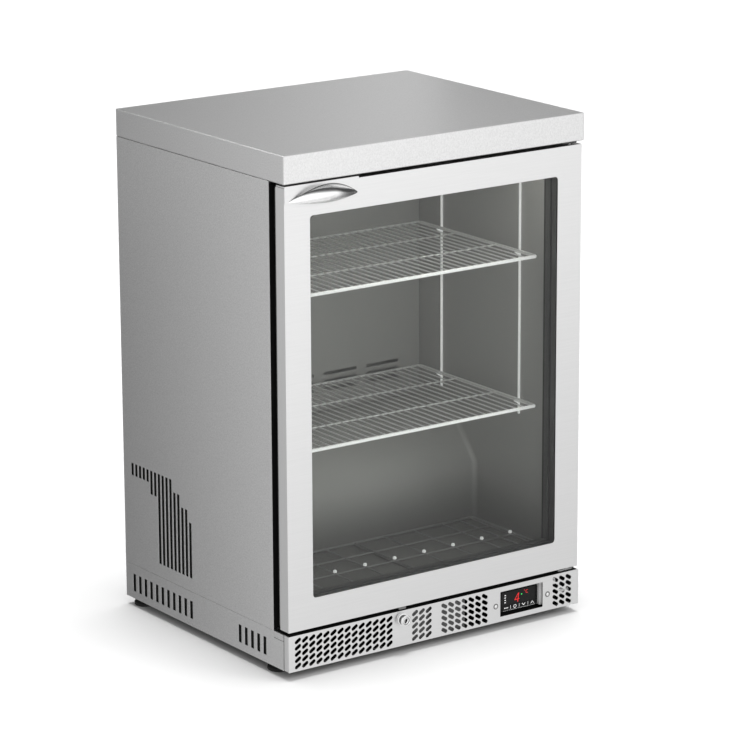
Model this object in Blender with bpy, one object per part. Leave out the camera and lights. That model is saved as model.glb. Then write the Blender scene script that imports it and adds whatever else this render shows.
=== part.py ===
"""Under counter glass door fridge, 600 mm wide, as separate working pieces.

Lengths are in millimetres and are turned into metres as each mesh is made.
X runs to the right seen from the front, Y to the back, Z up.
Depths are measured from the front of the door, so depth d lies at Y = FRONT + d.
"""

import math

import bmesh
import bpy
from mathutils import Matrix, Vector

MM = 0.001

# Overall size
WIDTH = 600.0
DEPTH = 495.0
HEIGHT = 865.0
FOOT_HEIGHT = 15.0
PULL = 22.0  # how far the handle stands out of the door
FRONT = PULL / 2 - DEPTH / 2
HALF = WIDTH / 2

# Sheet metal and clearances
SHEET = 1.2
GAP = 0.3
SEAT = SHEET + GAP
BITE = 0.4  # how far two joined solids run into each other

# Heights of the main joins
PLINTH_TOP = 76.0
WORKTOP_LOW = 818.5
CASE_TOP = 813.5
CASE_FLOOR = 80.0
TRAY_LOW = FOOT_HEIGHT

# Depths of the main joins
DOOR_SKIN = 24.3
DOOR_BACK = 32.3
CASE_FRONT = 43.0
CASE_BACK = DEPTH - 0.3
PLINTH_RETURN = 14.8

# Door outline and its glass opening
DOOR = (-299.5, 295.0, 82.5, 813.3)
SIGHT = (-250.5, 245.5, 133.0, 764.0)
PANE_OVERLAP = 11.5
PIVOT = (279.0, 14.0)
PIN_RADIUS = 3.5
BORE_RADIUS = 3.8

# Cold space: half width and stepped side profile as (depth, height)
CABIN_HALF = 262.0
CABIN = ((43.0, 112.0), (243.0, 112.0), (243.0, 215.0), (315.0, 303.0),
         (455.0, 303.0), (455.0, 785.0), (43.0, 785.0))
CABIN_WALL = 297.9  # half width of the foam and of the sheets above and below it
# Ceiling of the machine space under the step, front to back
MACHINE_CEILING = ((282.0, 80.0), (282.0, 200.0), (345.0, 265.0), (494.0, 265.0))

SHELF_LEVELS = (("shelf_lower", 356.0), ("shelf_upper", 615.0))
SHELF_WIRE = 3.5
SHELF_FRONT = 60.0
SHELF_BACK = 396.0
SHELF_HALF = 256.0
# Shelf strips, front and rear: (depth, lowest height)
STRIPS = (("front", 120.0), ("rear", 340.0))
STRIP_LOW = 330.0
STRIP_TOP = 780.0
STRIP_WIDTH = 4.0
RACK_HALF = 255.0
RACK_FRONT = 58.0
RACK_BACK = 240.0

# Air slots in the sides over the machine space, from the back forwards: runs of (count, height)
LOUVRE_WIDTH = 6.2
LOUVRE_FIRST = 467.0
LOUVRE_PITCH = 11.9
LOUVRE_TOPS = ((11, 258.0), (2, 237.0), (2, 216.6), (1, 196.3))
LOUVRE_LOWS = ((5, 236.3), (2, 216.2), (9, 99.5))
# Air slots in the base's sides: (count, first depth, pitch, low, top)
BASE_LOUVRES = ((11, 468.0, 17.9, 28.0, 59.4), (5, 142.0, 18.2, 28.0, 58.6))

# Perforated front: (columns, first column x, lean of the slots)
SLOT_ROWS = 5
SLOT_ROW_PITCH = 10.65
SLOT_LOW = 23.9
SLOT_PITCH = 14.05
SLOT_LENGTH = 12.9
SLOT_WIDTH = 5.6
SLOT_TILT = math.radians(32)
SLOT_BLOCKS = ((14, -281.5, 1), (3, -47.1, 1), (7, 13.3, -1), (3, 248.3, -1))

LOCK = (-73.0, 61.0)
LOCK_RADIUS = 10.5
LOCK_PROUD = 12.0
LOCK_BARREL = 8.0
PLUG_RADIUS = 6.0
PLUG_HOLE = 6.3
CAM_REACH = 18.5
CAM_HALF = 4.0
CAM_DEPTHS = (16.3, 18.8)

# The catch hangs from the door's lower edge behind the raised cam
CATCH_LOW = 77.2
CATCH_SIDES = (-85.5, -70.0)

DISPLAY_HOLE = (130.5, 221.0, 23.6, 67.3)
DISPLAY = (141.0, 218.0, 26.5, 60.6)
DISPLAY_DEPTH = 11.5
KEY_SIZE = (16.0, 7.0)
KEY_LOW = 28.6
KEY_PROUD = 0.2
KEY_FIRST = 143.6
KEY_PITCH = 18.6
KEY_NAMES = ("key_set", "key_power", "key_down", "key_up")

FAN_AXIS_COLD = (0.0, 700.0)
FAN_AXIS_HOT = (378.0, 112.0)
COIL = (-215.0, 215.0, 414.0, 446.0)
CONDENSER = (-281.0, -239.0, 298.0, 456.0)
COMPRESSOR = (150.0, 392.0)
INLET_HOLE = (196.0, 224.0, 100.0, 120.0)

FEET = {
    "foot_front_left": (-276.0, 64.0),
    "foot_front_right": (276.0, 64.0),
    "foot_rear_left": (-276.0, 472.0),
    "foot_rear_right": (276.0, 472.0),
}
FOOT_BORE = 4.6
FOOT_STUD = 4.2
STUD_TOP = 31.0

# Handle: the scoop's two tips, its plate's right edge, and the scoop's heights
SCOOP_LEFT = -292.5
SCOOP_RIGHT = -159.5
HANDLE_RIGHT = -157.0
SCOOP_TIP = 789.0
SCOOP_LOW = 780.5
SCOOP_CREST = 807.0
SCOOP_THICK = 1.8


# ---------------------------------------------------------------- helpers


def clear_scene():
    for obj in list(bpy.data.objects):
        bpy.data.objects.remove(obj, do_unlink=True)


def material(name, colour, roughness, metallic=0.0, alpha=1.0):
    found = bpy.data.materials.new(name)
    found.use_nodes = True
    shader = found.node_tree.nodes["Principled BSDF"]
    shader.inputs["Base Color"].default_value = (*colour, 1.0)
    shader.inputs["Roughness"].default_value = roughness
    shader.inputs["Metallic"].default_value = metallic
    shader.inputs["Alpha"].default_value = alpha
    return found


def at(depth):
    """Y of a depth behind the door's front."""
    return FRONT + depth


def point(axis, u, v, w):
    """A point whose plane coordinates are (u, v) and whose coordinate along axis is w."""
    if axis == "X":
        return (w * MM, u * MM, v * MM)
    if axis == "Y":
        return (u * MM, w * MM, v * MM)
    return (u * MM, v * MM, w * MM)


def finish_mesh(name, bm, finish, smooth=None):
    bmesh.ops.recalc_face_normals(bm, faces=bm.faces)
    mesh = bpy.data.meshes.new(name)
    bm.to_mesh(mesh)
    bm.free()
    if smooth is not None:
        mesh.shade_smooth()
        mesh.set_sharp_from_angle(angle=math.radians(smooth))
    obj = bpy.data.objects.new(name, mesh)
    bpy.context.scene.collection.objects.link(obj)
    if finish is not None:
        mesh.materials.append(finish)
    return obj


def extruded(name, loops, axis, low, high, finish=None, smooth=None):
    """Each closed loop in the plane across axis, extruded from low to high."""
    bm = bmesh.new()
    for loop in loops:
        bm.faces.new([bm.verts.new(point(axis, u, v, low)) for u, v in loop])
    side = bmesh.ops.extrude_face_region(bm, geom=list(bm.faces))
    moved = [v for v in side["geom"] if isinstance(v, bmesh.types.BMVert)]
    bmesh.ops.translate(bm, verts=moved, vec=point(axis, 0, 0, high - low))
    return finish_mesh(name, bm, finish, smooth)


def prism(name, outline, axis, low, high, finish=None, holes=(), smooth=None):
    """An outline in the plane across axis, extruded from low to high, with the holes cut right through."""
    obj = extruded(name, [outline], axis, low, high, finish, smooth)
    if holes:
        cut(obj, extruded(name + "_holes", holes, axis, low - 1, high + 1))
    return obj


def rectangle(x0, x1, z0, z1):
    return [(x0, z0), (x1, z0), (x1, z1), (x0, z1)]


def box(name, x0, x1, d0, d1, z0, z1, finish=None):
    return prism(name, rectangle(x0, x1, z0, z1), "Y", at(d0), at(d1), finish)


def arc(cu, cv, radius, start, turn, steps):
    """Points along an arc that begins at start and goes through turn, both in degrees."""
    angles = [math.radians(start + turn * i / steps) for i in range(steps + 1)]
    return [(cu + radius * math.cos(angle), cv + radius * math.sin(angle)) for angle in angles]


def circle(cu, cv, radius, steps=24):
    return arc(cu, cv, radius, 0, 360, steps)[:-1]


def cylinder(name, axis, cu, cv, radius, low, high, finish=None, steps=24, hole=0.0):
    holes = [circle(cu, cv, hole, steps)] if hole else ()
    return prism(name, circle(cu, cv, radius, steps), axis, low, high, finish, holes, smooth=40)


def rounded(x0, x1, z0, z1, radius, steps=3):
    """A rectangle whose corners are arcs."""
    corners = ((x1 - radius, z0 + radius, -90), (x1 - radius, z1 - radius, 0),
               (x0 + radius, z1 - radius, 90), (x0 + radius, z0 + radius, 180))
    return [p for cx, cz, start in corners for p in arc(cx, cz, radius, start, 90, steps)]


def slot(cx, cz, length, width, tilt, steps=1):
    """A long hole with round ends, leaning by tilt."""
    reach = (length - width) / 2
    flat = arc(reach, 0, width / 2, -90, 180, steps + 1) + arc(-reach, 0, width / 2, 90, 180, steps + 1)
    along, up = math.cos(tilt), math.sin(tilt)
    return [(cx + u * along - v * up, cz + u * up + v * along) for u, v in flat]


def spun(name, profile, axis, centre, finish, steps=24):
    """A closed turned piece: profile is (radius, place along axis), its ends on the axis."""
    bm = bmesh.new()
    rings = []
    for radius, along in profile:
        if radius == 0:
            rings.append([bm.verts.new(point(axis, *centre, along))])
        else:
            rings.append([bm.verts.new(point(axis, u, v, along)) for u, v in circle(*centre, radius, steps)])
    for a, b in zip(rings, rings[1:]):
        for i in range(steps):
            j = (i + 1) % steps
            if len(a) == 1:
                bm.faces.new((a[0], b[i], b[j]))
            elif len(b) == 1:
                bm.faces.new((a[j], a[i], b[0]))
            else:
                bm.faces.new((a[i], b[i], b[j], a[j]))
    return finish_mesh(name, bm, finish, smooth=35)


def pipe(name, route, radius, finish):
    """A round tube along a smooth curve through the route's points, read every few diameters."""
    points = []
    ends = [route[0], *route, route[-1]]
    for a, b, c, d in zip(ends, ends[1:], ends[2:], ends[3:]):
        a, b, c, d = (Vector(p) for p in (a, b, c, d))
        steps = max(2, round((c - b).length / (4 * radius)))
        for i in range(steps):
            t = i / steps
            points.append(((2 * b) + (c - a) * t + (2 * a - 5 * b + 4 * c - d) * t * t
                           + (3 * b - a - 3 * c + d) * t ** 3) / 2)
    points.append(Vector(route[-1]))
    curve = bpy.data.curves.new(name, "CURVE")
    curve.dimensions = "3D"
    curve.bevel_depth = radius * MM
    curve.bevel_resolution = 1
    curve.use_fill_caps = True
    spline = curve.splines.new("POLY")
    spline.points.add(len(points) - 1)
    for knot, place in zip(spline.points, points):
        knot.co = (place.x * MM, at(place.y) * MM, place.z * MM, 1.0)
    obj = bpy.data.objects.new(name, curve)
    bpy.context.scene.collection.objects.link(obj)
    curve.materials.append(finish)
    return obj


def combine(obj, operation, others):
    """Cuts the others from obj, or joins them to it. They stay as hidden guides."""
    for other in others:
        other.name = "guide_" + other.name
        other.hide_render = True
        other.display_type = "WIRE"
        step = obj.modifiers.new(operation.lower(), "BOOLEAN")
        step.operation = operation
        step.solver = "EXACT"
        step.object = other
    return obj


def cut(obj, *others):
    return combine(obj, "DIFFERENCE", others)


def join(obj, *others):
    return combine(obj, "UNION", others)


def hang(name, place, *pieces):
    """An empty on a joint's axis, with the moving pieces parented to it."""
    pivot = bpy.data.objects.new(name, None)
    pivot.empty_display_size = 0.05
    pivot.location = Vector(place) * MM
    bpy.context.scene.collection.objects.link(pivot)
    for piece in pieces:
        piece.data.transform(Matrix.Translation(-pivot.location))
        piece.parent = pivot


# ---------------------------------------------------------------- finishes


def make_finishes():
    return {
        "steel": material("brushed_steel", (0.62, 0.62, 0.62), 0.38, 1.0),
        "galvanised": material("galvanised_steel", (0.50, 0.52, 0.53), 0.5, 0.9),
        "chrome": material("chrome", (0.80, 0.80, 0.80), 0.12, 1.0),
        "liner": material("liner_aluminium", (0.55, 0.56, 0.57), 0.5, 0.9),
        "foam": material("foam", (0.85, 0.75, 0.45), 0.9),
        "black": material("black_plastic", (0.02, 0.02, 0.02), 0.5),
        "display": material("display_plastic", (0.01, 0.01, 0.012), 0.15),
        "grey": material("grey_plastic", (0.45, 0.46, 0.47), 0.5),
        "white": material("white_plastic", (0.8, 0.8, 0.8), 0.4),
        "rubber": material("rubber", (0.02, 0.02, 0.02), 0.8),
        "glass": material("glass", (0.6, 0.65, 0.65), 0.03, 0.0, 0.3),
        "copper": material("copper", (0.72, 0.42, 0.28), 0.3, 1.0),
        "enamel": material("black_enamel", (0.03, 0.03, 0.03), 0.35, 0.3),
        "aluminium": material("aluminium", (0.75, 0.76, 0.77), 0.35, 1.0),
        "plated": material("plated_steel", (0.55, 0.56, 0.57), 0.35, 1.0),
    }


# ---------------------------------------------------------------- casing


def make_worktop(finish):
    """A folded tray turned upside down, with a foam slab inside it."""
    top = box("worktop", -HALF, HALF, 0, DEPTH, WORKTOP_LOW, HEIGHT, finish["steel"])
    lip = 12.0
    inside = box("worktop_hollow", -HALF + SHEET, HALF - SHEET, SHEET, DEPTH - SHEET,
                 WORKTOP_LOW + SHEET, HEIGHT - SHEET)
    mouth = box("worktop_mouth", -HALF + lip, HALF - lip, lip, DEPTH - lip,
                WORKTOP_LOW - 10, WORKTOP_LOW + 5)
    cut(top, inside, mouth)
    box("worktop_core", -HALF + SEAT, HALF - SEAT, SEAT, DEPTH - SEAT,
        WORKTOP_LOW + SEAT, HEIGHT - SEAT, finish["foam"])


def make_top_panel(finish):
    front, lip = CASE_FRONT + SEAT, 799.0
    profile = ((front, lip), (front + SHEET, lip), (front + SHEET, CASE_TOP - SHEET),
               (CASE_BACK - SEAT, CASE_TOP - SHEET), (CASE_BACK - SEAT, CASE_TOP), (front, CASE_TOP))
    prism("top_panel", [(at(d), z) for d, z in profile], "X", -CABIN_WALL, CABIN_WALL, finish["galvanised"])


def louvre(depth, low, high):
    return rectangle(at(depth) - LOUVRE_WIDTH / 2, at(depth) + LOUVRE_WIDTH / 2, low, high)


def runs(pairs):
    """The heights written out once for each slot of each run."""
    return [height for count, height in pairs for _ in range(count)]


def side_louvres():
    """Air slots over the machine space, following its stepped ceiling."""
    return [louvre(LOUVRE_FIRST - LOUVRE_PITCH * i, low, top)
            for i, (low, top) in enumerate(zip(runs(LOUVRE_LOWS), runs(LOUVRE_TOPS)))]


def make_side_panel(name, side, finish):
    """A flat side with a folded front edge and a folded top edge."""
    outer, inner = side * (HALF - GAP), side * (HALF - GAP - SHEET)
    low, high = PLINTH_TOP + GAP, WORKTOP_LOW - GAP
    front_reach, top_reach = 275.0, 291.5
    panel = prism(name, rectangle(at(CASE_FRONT), at(CASE_BACK), low, high), "X",
                  min(outer, inner), max(outer, inner), finish["steel"], side_louvres())
    front_edge = sorted((side * (HALF - 1), side * front_reach))
    top_edge = sorted((side * (HALF - 1), side * top_reach))
    front = box(name + "_front", *front_edge, CASE_FRONT, CASE_FRONT + SHEET, CASE_FLOOR, CASE_TOP)
    top = box(name + "_top", *top_edge, CASE_FRONT, CASE_BACK, high - SHEET, high)
    join(panel, front, top)


def make_back(finish):
    """The upper back sheet, and the slotted cover of the machine space under it."""
    width, join_height = HALF - SEAT - GAP, 265.0
    box("back_panel", -width, width, CASE_BACK - SHEET, CASE_BACK, join_height + GAP, WORKTOP_LOW - SEAT,
        finish["galvanised"])
    slots = [rectangle(x - 30, x + 30, z, z + 5)
             for x in (-190, -110, -30, 50, 130) for z in range(100, 240, 20)]
    prism("rear_cover", rectangle(-width, width, TRAY_LOW + SEAT, join_height - GAP), "Y",
          at(CASE_BACK - SHEET), at(CASE_BACK), finish["galvanised"],
          [*slots, rectangle(*INLET_HOLE)])


def make_case_floor(finish):
    """The sheet under the cold space: a front lip, the floor, and the machine space's ceiling."""
    front, lip = CASE_FRONT + SEAT, 99.0
    (riser, _), (_, slope_low), (slope_end, ceiling), _ = MACHINE_CEILING
    under = [(front, lip), (front, CASE_FLOOR), *MACHINE_CEILING[:-1], (CASE_BACK - SEAT, ceiling)]
    over = [(CASE_BACK - SEAT, ceiling + SHEET), (slope_end - 0.5, ceiling + SHEET),
            (riser - SHEET, slope_low + 0.5), (riser - SHEET, CASE_FLOOR + SHEET),
            (front + SHEET, CASE_FLOOR + SHEET), (front + SHEET, lip)]
    outline = [(at(d), z) for d, z in under + over]
    prism("case_floor", outline, "X", -CABIN_WALL, CABIN_WALL, finish["galvanised"])


def base_louvres():
    return [louvre(first - pitch * i, low, top)
            for count, first, pitch, low, top in BASE_LOUVRES for i in range(count)]


def make_base(finish):
    """A tray on the feet, with sides that carry the case."""
    start, end = PLINTH_RETURN + GAP, CASE_BACK
    low, high, lip_reach = TRAY_LOW, PLINTH_TOP, 284.0
    tray = box("base_tray", -HALF + GAP, HALF - GAP, start, end, low, low + SHEET, finish["steel"])
    sides = []
    for side in (-1, 1):
        outer, inner = side * (HALF - GAP), side * (HALF - GAP - SHEET)
        sides.append(prism(f"base_side_{side}", rectangle(at(start), at(end), low, high), "X",
                           min(outer, inner), max(outer, inner), None, base_louvres()))
        lip = sorted((side * (HALF - 1), side * lip_reach))
        sides.append(box(f"base_lip_{side}", *lip, start, end - 3, high - SHEET, high))
    join(tray, *sides)
    holes = [cylinder(f"foot_hole_{n}", "Z", x, at(d), FOOT_BORE, low - 1, low + 3)
             for n, (x, d) in enumerate(FEET.values())]
    cut(tray, *holes)


def make_feet(finish):
    """Feet with a chamfered pad and a threaded stud, drawn plain."""
    profile = ((0, 0), (17, 0), (19, 1.5), (19, 6), (14, 11), (14, TRAY_LOW - GAP),
               (FOOT_STUD, TRAY_LOW - GAP), (FOOT_STUD, STUD_TOP), (0, STUD_TOP))
    for name, (x, d) in FEET.items():
        foot = spun(name, profile, "Z", (x, at(d)), finish["rubber"], steps=14)
        hang(name + "_axis", (x, at(d), 0), foot)


def make_grille(finish):
    """The perforated front of the plinth: a pan with the lock hole and the display cut-out."""
    x0, x1 = -HALF + GAP, 298.0
    holes = [circle(*LOCK, LOCK_BARREL + GAP, 16), rectangle(*DISPLAY_HOLE)]
    for columns, first, lean in SLOT_BLOCKS:
        for column in range(columns):
            for row in range(SLOT_ROWS):
                holes.append(slot(first + SLOT_PITCH * column, SLOT_LOW + SLOT_ROW_PITCH * row,
                                  SLOT_LENGTH, SLOT_WIDTH, lean * SLOT_TILT))
    outline = rectangle(x0, x1, TRAY_LOW, PLINTH_TOP)
    face = prism("grille_panel", outline, "Y", at(0), at(SHEET), finish["steel"], holes)
    rim = prism("grille_rim", outline, "Y", at(SHEET - BITE), at(PLINTH_RETURN), None,
                [rectangle(x0 + SHEET, x1 - SHEET, TRAY_LOW + SHEET, PLINTH_TOP - SHEET)])
    join(face, rim)


# ---------------------------------------------------------------- cold space


def offset_profile(profile, distance):
    """The profile moved outwards by distance, each side kept parallel."""
    moved = []
    count = len(profile)
    for i in range(count):
        before, here, after = (Vector(profile[(i + k) % count]) for k in (-1, 0, 1))
        into, out = (here - before).normalized(), (after - here).normalized()
        normal_in, normal_out = Vector((into.y, -into.x)), Vector((out.y, -out.x))
        corner = (normal_in + normal_out) / (1 + normal_in.dot(normal_out))
        moved.append(here + corner * distance)
    return [(d, z) for d, z in moved]


def cabin_prism(name, grow, half, front, finish=None):
    """The cold space as a solid, grown on all sides but the front, which is at depth front."""
    grown = offset_profile(CABIN, grow)
    shaped = [(front if d < 100 else d, z) for d, z in grown]
    shaped[0] = (front, CABIN[0][1] - grow)
    shaped[-1] = (front, CABIN[-1][1] + grow)
    return prism(name, [(at(d), z) for d, z in shaped], "X", -half, half, finish)


def make_liner(finish):
    liner = cabin_prism("liner", SHEET, CABIN_HALF + SHEET, CASE_FRONT + SEAT, finish["liner"])
    cut(liner, cabin_prism("liner_hollow", 0, CABIN_HALF, CASE_FRONT - 5))


def make_insulation(finish):
    """Foam between the casing and the liner, stepped over the machine space."""
    front = CASE_FRONT + 2 * SEAT
    back = CASE_BACK - SEAT
    (riser, _), (_, slope_low), (slope_end, ceiling), _ = MACHINE_CEILING
    step = ceiling + SEAT + 0.1
    outline = ((front, CASE_FLOOR + SEAT), (riser - SEAT, CASE_FLOOR + SEAT), (riser - SEAT, slope_low + 0.7),
               (slope_end - 0.7, step), (back, step), (back, CASE_TOP - SEAT), (front, CASE_TOP - SEAT))
    foam = prism("insulation", [(at(d), z) for d, z in outline], "X", -CABIN_WALL, CABIN_WALL, finish["foam"])
    cut(foam, cabin_prism("foam_hollow", SEAT, CABIN_HALF + SEAT, CASE_FRONT - 5))


def make_breaker(finish):
    """The plastic frame round the mouth of the cold space."""
    low, high = CABIN[0][1] + GAP, CABIN[-1][1] - GAP
    half, wall, lip_back = CABIN_HALF - GAP, 1.0, 55.0
    mouth = [rectangle(wall - half, half - wall, low + wall, high - wall)]
    ring = prism("breaker_strip", rectangle(-274.5, 274.5, 99.5, 798.0), "Y",
                 at(CASE_FRONT), at(CASE_FRONT + SHEET), finish["black"], mouth)
    lip = prism("breaker_lip", rectangle(-half, half, low, high), "Y",
                at(CASE_FRONT + BITE), at(lip_back), None, mouth)
    join(ring, lip)


def make_strips(finish):
    """Upright strips with tabs that carry the shelves."""
    wall = CABIN_HALF - GAP
    face, tab = wall - 2.5, wall - 11
    for row, place in STRIPS:
        profile = [(wall, STRIP_LOW), (wall, STRIP_TOP), (face, STRIP_TOP)]
        for _, level in reversed(SHELF_LEVELS):
            profile += [(face, level), (tab, level), (tab, level - 3), (face, level - 8)]
        profile.append((face, STRIP_LOW))
        for side, word in ((-1, "left"), (1, "right")):
            prism(f"shelf_strip_{row}_{word}", [(side * x, z) for x, z in profile], "Y",
                  at(place - STRIP_WIDTH / 2), at(place + STRIP_WIDTH / 2), finish["white"])


def lattice(name, half, front, back, low, high, wires, bars, wire, finish):
    """A grid of wires front to back with cross bars, all in one plane."""
    pitch_x = (2 * half - wire) / (wires - 1)
    pitch_d = (back - front - wire) / (bars - 1)
    holes = []
    for i in range(wires - 1):
        for j in range(bars - 1):
            x, d = -half + wire + pitch_x * i, front + wire + pitch_d * j
            holes.append(rectangle(x, x + pitch_x - wire, at(d), at(d + pitch_d - wire)))
    return prism(name, rectangle(-half, half, at(front), at(back)), "Z", low, high, finish, holes)


def make_shelves(finish):
    for name, level in SHELF_LEVELS:
        shelf = lattice(name, SHELF_HALF, SHELF_FRONT, SHELF_BACK, level + GAP, level + GAP + SHELF_WIRE,
                        16, 4, SHELF_WIRE, finish["chrome"])
        hang(name + "_axis", (0, at((SHELF_FRONT + SHELF_BACK) / 2), level), shelf)
    floor = CABIN[0][1]
    rack = lattice("floor_rack", RACK_HALF, RACK_FRONT, RACK_BACK, floor + SHELF_WIRE, floor + 2 * SHELF_WIRE,
                   16, 3, SHELF_WIRE, finish["chrome"])
    rails = [box(f"floor_rail_{i}", x - 2, x + 2, RACK_FRONT + 4, RACK_BACK - 4, floor + GAP, floor + 4)
             for i, x in enumerate((-227, 0, 227))]
    join(rack, *rails)
    hang("floor_rack_axis", (0, at((RACK_FRONT + RACK_BACK) / 2), floor), rack)


def make_cold_rear(finish):
    """The panel at the back of the cold space, its coil, and the fan behind the round guard."""
    plate = CABIN_HALF - 1.0
    axis = FAN_AXIS_COLD
    sectors = []
    for ring_in, ring_out in ((20.0, 38.0), (41.0, 59.0)):
        for start in (6, 96, 186, 276):
            sectors.append(arc(*axis, ring_out, start, 78, 5) + arc(*axis, ring_in, start, 78, 5)[::-1])
    vents = [rectangle(x - 35, x + 35, z, z + 6) for x in (-180, -90, 0, 90, 180) for z in (340, 354, 368)]
    prism("evaporator_cover", rectangle(-plate, plate, 305.0, 784.0), "Y", at(406.0), at(407.2),
          finish["liner"], sectors + vents)
    x0, x1, d0, d1 = COIL
    comb = comb_outline(x0, x1, at(d0), at(d1), 18, 2.0)
    prism("evaporator_coil", comb, "Z", 400.0, 610.0, finish["aluminium"])
    shaft, motor_front, motor_back = 3.0, 431.0, 454.0
    motor = cylinder("evaporator_fan_motor", "Y", *axis, 24.0, at(motor_front), at(motor_back),
                     finish["black"])
    join(motor, cylinder("cold_shaft", "Y", *axis, shaft, at(419.6), at(motor_front + 1), None, 12))
    fan = make_fan("evaporator_fan", "Y", axis, at(411.0), at(423.0), 56.0, 16.0, 5, finish["black"])
    cut(fan, cylinder("cold_fan_bore", "Y", *axis, shaft + BITE, at(419.0), at(430.0), None, 12))
    hang("evaporator_fan_axis", (axis[0], at(417.0), axis[1]), fan)


def comb_outline(x0, x1, y0, y1, fins, thickness):
    """A block with fins across it: a core strip with fins on both sides."""
    core0, core1 = y0 + (y1 - y0) * 0.35, y0 + (y1 - y0) * 0.65
    pitch = (x1 - x0 - thickness) / (fins - 1)
    outline = []
    for i in range(fins):
        left = x0 + pitch * i
        outline += [(left, core0), (left, y0), (left + thickness, y0), (left + thickness, core0)]
    for i in reversed(range(fins)):
        left = x0 + pitch * i
        outline += [(left + thickness, core1), (left + thickness, y1), (left, y1), (left, core1)]
    return outline


def make_fan(name, axis, centre, low, high, reach, hub, blades, finish):
    """A hub with pitched blades, each a slanted plate."""
    fan = cylinder(name, axis, *centre, hub, low, high, finish, 20)
    half_thick, half_chord, pitch = 1.0, 17.0, 16
    place = Matrix.Translation(point(axis, *centre, (low + high) / 2))
    stand = Matrix.Rotation(math.radians(90), 4, "Z") if axis == "X" else Matrix.Identity(4)
    slant = Matrix.Translation((hub / 2 * MM, 0, 0)) @ Matrix.Rotation(math.radians(90 + pitch), 4, "X")
    pieces = []
    for k in range(blades):
        blade = prism(f"{name}_blade_{k}", rectangle(0, reach - hub / 2, -half_thick, half_thick),
                      "Y", -half_chord, half_chord)
        blade.data.transform(place @ stand @ Matrix.Rotation(2 * math.pi * k / blades, 4, "Y") @ slant)
        pieces.append(blade)
    return join(fan, *pieces)


def make_lamp(finish):
    """The lamp under the ceiling, behind the mouth."""
    box("led_strip", -245, 245, 60, 74, 779.5, 784.5, finish["white"])


# ---------------------------------------------------------------- machine space


def make_compressor(floor, finish):
    """A welded pot on a foot plate."""
    x, d = COMPRESSOR
    pot = ((0, 26), (66, 26), (74, 34), (76, 60), (77, 96), (80, 98), (80, 102), (76, 104),
           (72, 140), (56, 162), (30, 170), (0, 171))
    shell = spun("compressor", pot, "Z", (x, at(d)), finish["enamel"], 22)
    join(shell, box("compressor_plate", x - 88, x + 88, d - 74, d + 74, floor, 30))


def make_condenser(floor, finish):
    """A finned block beside the left air slots, and the fan that draws air through it."""
    x0, x1, d0, d1 = CONDENSER
    fins = comb_outline(at(d0), at(d1), x0, x1, 15, 2.0)
    condenser = prism("condenser", [(x, y) for y, x in fins], "Z", 24.0, 188.0, finish["enamel"])
    join(condenser, box("condenser_foot", x0, x1, d0 + 6, d1 - 6, floor, 26))
    d, z = FAN_AXIS_HOT
    motor_left, motor_right, shaft, shaft_left = -188.0, -142.0, 4.0, -208.0
    motor = cylinder("condenser_fan_motor", "X", at(d), z, 30.0, motor_left, motor_right, finish["enamel"])
    join(motor,
         cylinder("hot_shaft", "X", at(d), z, shaft, shaft_left, motor_left + 1, None, 12),
         box("hot_post", motor_left + 10, motor_right - 10, d - 14, d + 14, floor, z - 20))
    fan = make_fan("condenser_fan", "X", (at(d), z), -224.0, -202.0, 74.0, 20.0, 5, finish["aluminium"])
    cut(fan, cylinder("hot_fan_bore", "X", at(d), z, shaft + BITE, shaft_left - 1.5, motor_left - 6,
                      None, 12))
    hang("condenser_fan_axis", (-213.0, at(d), z), fan)


def make_pipes(finish):
    """The filter drier and the two pipes of the compressor."""
    low = 60.0
    drier = ((0, 0), (5, 0), (9, 8), (9, 70), (5, 78), (0, 78))
    spun("filter_drier", [(r, low + a) for r, a in drier], "Z", (-110.0, at(470.0)), finish["copper"], 16)
    pipe("discharge_pipe",
         ((66.0, 392.0, 70.0), (40.0, 392.0, 70.0), (20.0, 420.0, 40.0), (-60.0, 470.0, 34.0),
          (-180.0, 482.0, 40.0), (-220.0, 478.0, 60.0), (-234.0, 462.0, 90.0)), 3.0, finish["copper"])
    pipe("suction_pipe",
         ((232.0, 392.0, 70.0), (246.0, 400.0, 80.0), (250.0, 450.0, 130.0), (240.0, 478.0, 190.0),
          (200.0, 482.0, 235.0), (120.0, 470.0, 250.0)), 4.0, finish["copper"])


def make_wiring(floor, finish):
    """The wiring box, and the inlet for the mains lead in the rear cover."""
    box("electrical_box", -60, 20, 296, 366, floor, 110, finish["grey"])
    x0, x1, z0, z1 = INLET_HOLE
    front, wall, depth = 466.3, 3.0, 16.0
    inlet = box("power_inlet", x0 + GAP, x1 - GAP, front, CASE_BACK, z0 + GAP, z1 - GAP, finish["black"])
    cut(inlet, box("inlet_mouth", x0 + wall, x1 - wall, CASE_BACK - depth, CASE_BACK + 5,
                   z0 + wall, z1 - wall))
    middle = (x0 + x1) / 2
    places = ((middle - 6.5, z0 + 8.5), (middle, z0 + 11.5), (middle + 6.5, z0 + 8.5))
    pins = [box(f"inlet_pin_{i}", x - 1, x + 1, CASE_BACK - depth - 1, CASE_BACK - 3, z - 2, z + 2)
            for i, (x, z) in enumerate(places)]
    join(inlet, *pins)


def make_drip_tray(finish):
    """The pan over the compressor where the melt water dries."""
    x0, x1, d0, d1, low, high, wall = 84, 216, 330, 454, 178, 206, 2
    pan = box("drip_tray", x0, x1, d0, d1, low, high, finish["black"])
    cut(pan, box("drip_hollow", x0 + wall, x1 - wall, d0 + wall, d1 - wall, low + 2.5, high + 9))


def make_machine(finish):
    floor = TRAY_LOW + SHEET + GAP
    make_compressor(floor, finish)
    make_condenser(floor, finish)
    make_pipes(finish)
    make_drip_tray(finish)
    make_wiring(floor, finish)


# ---------------------------------------------------------------- plinth fittings


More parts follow.
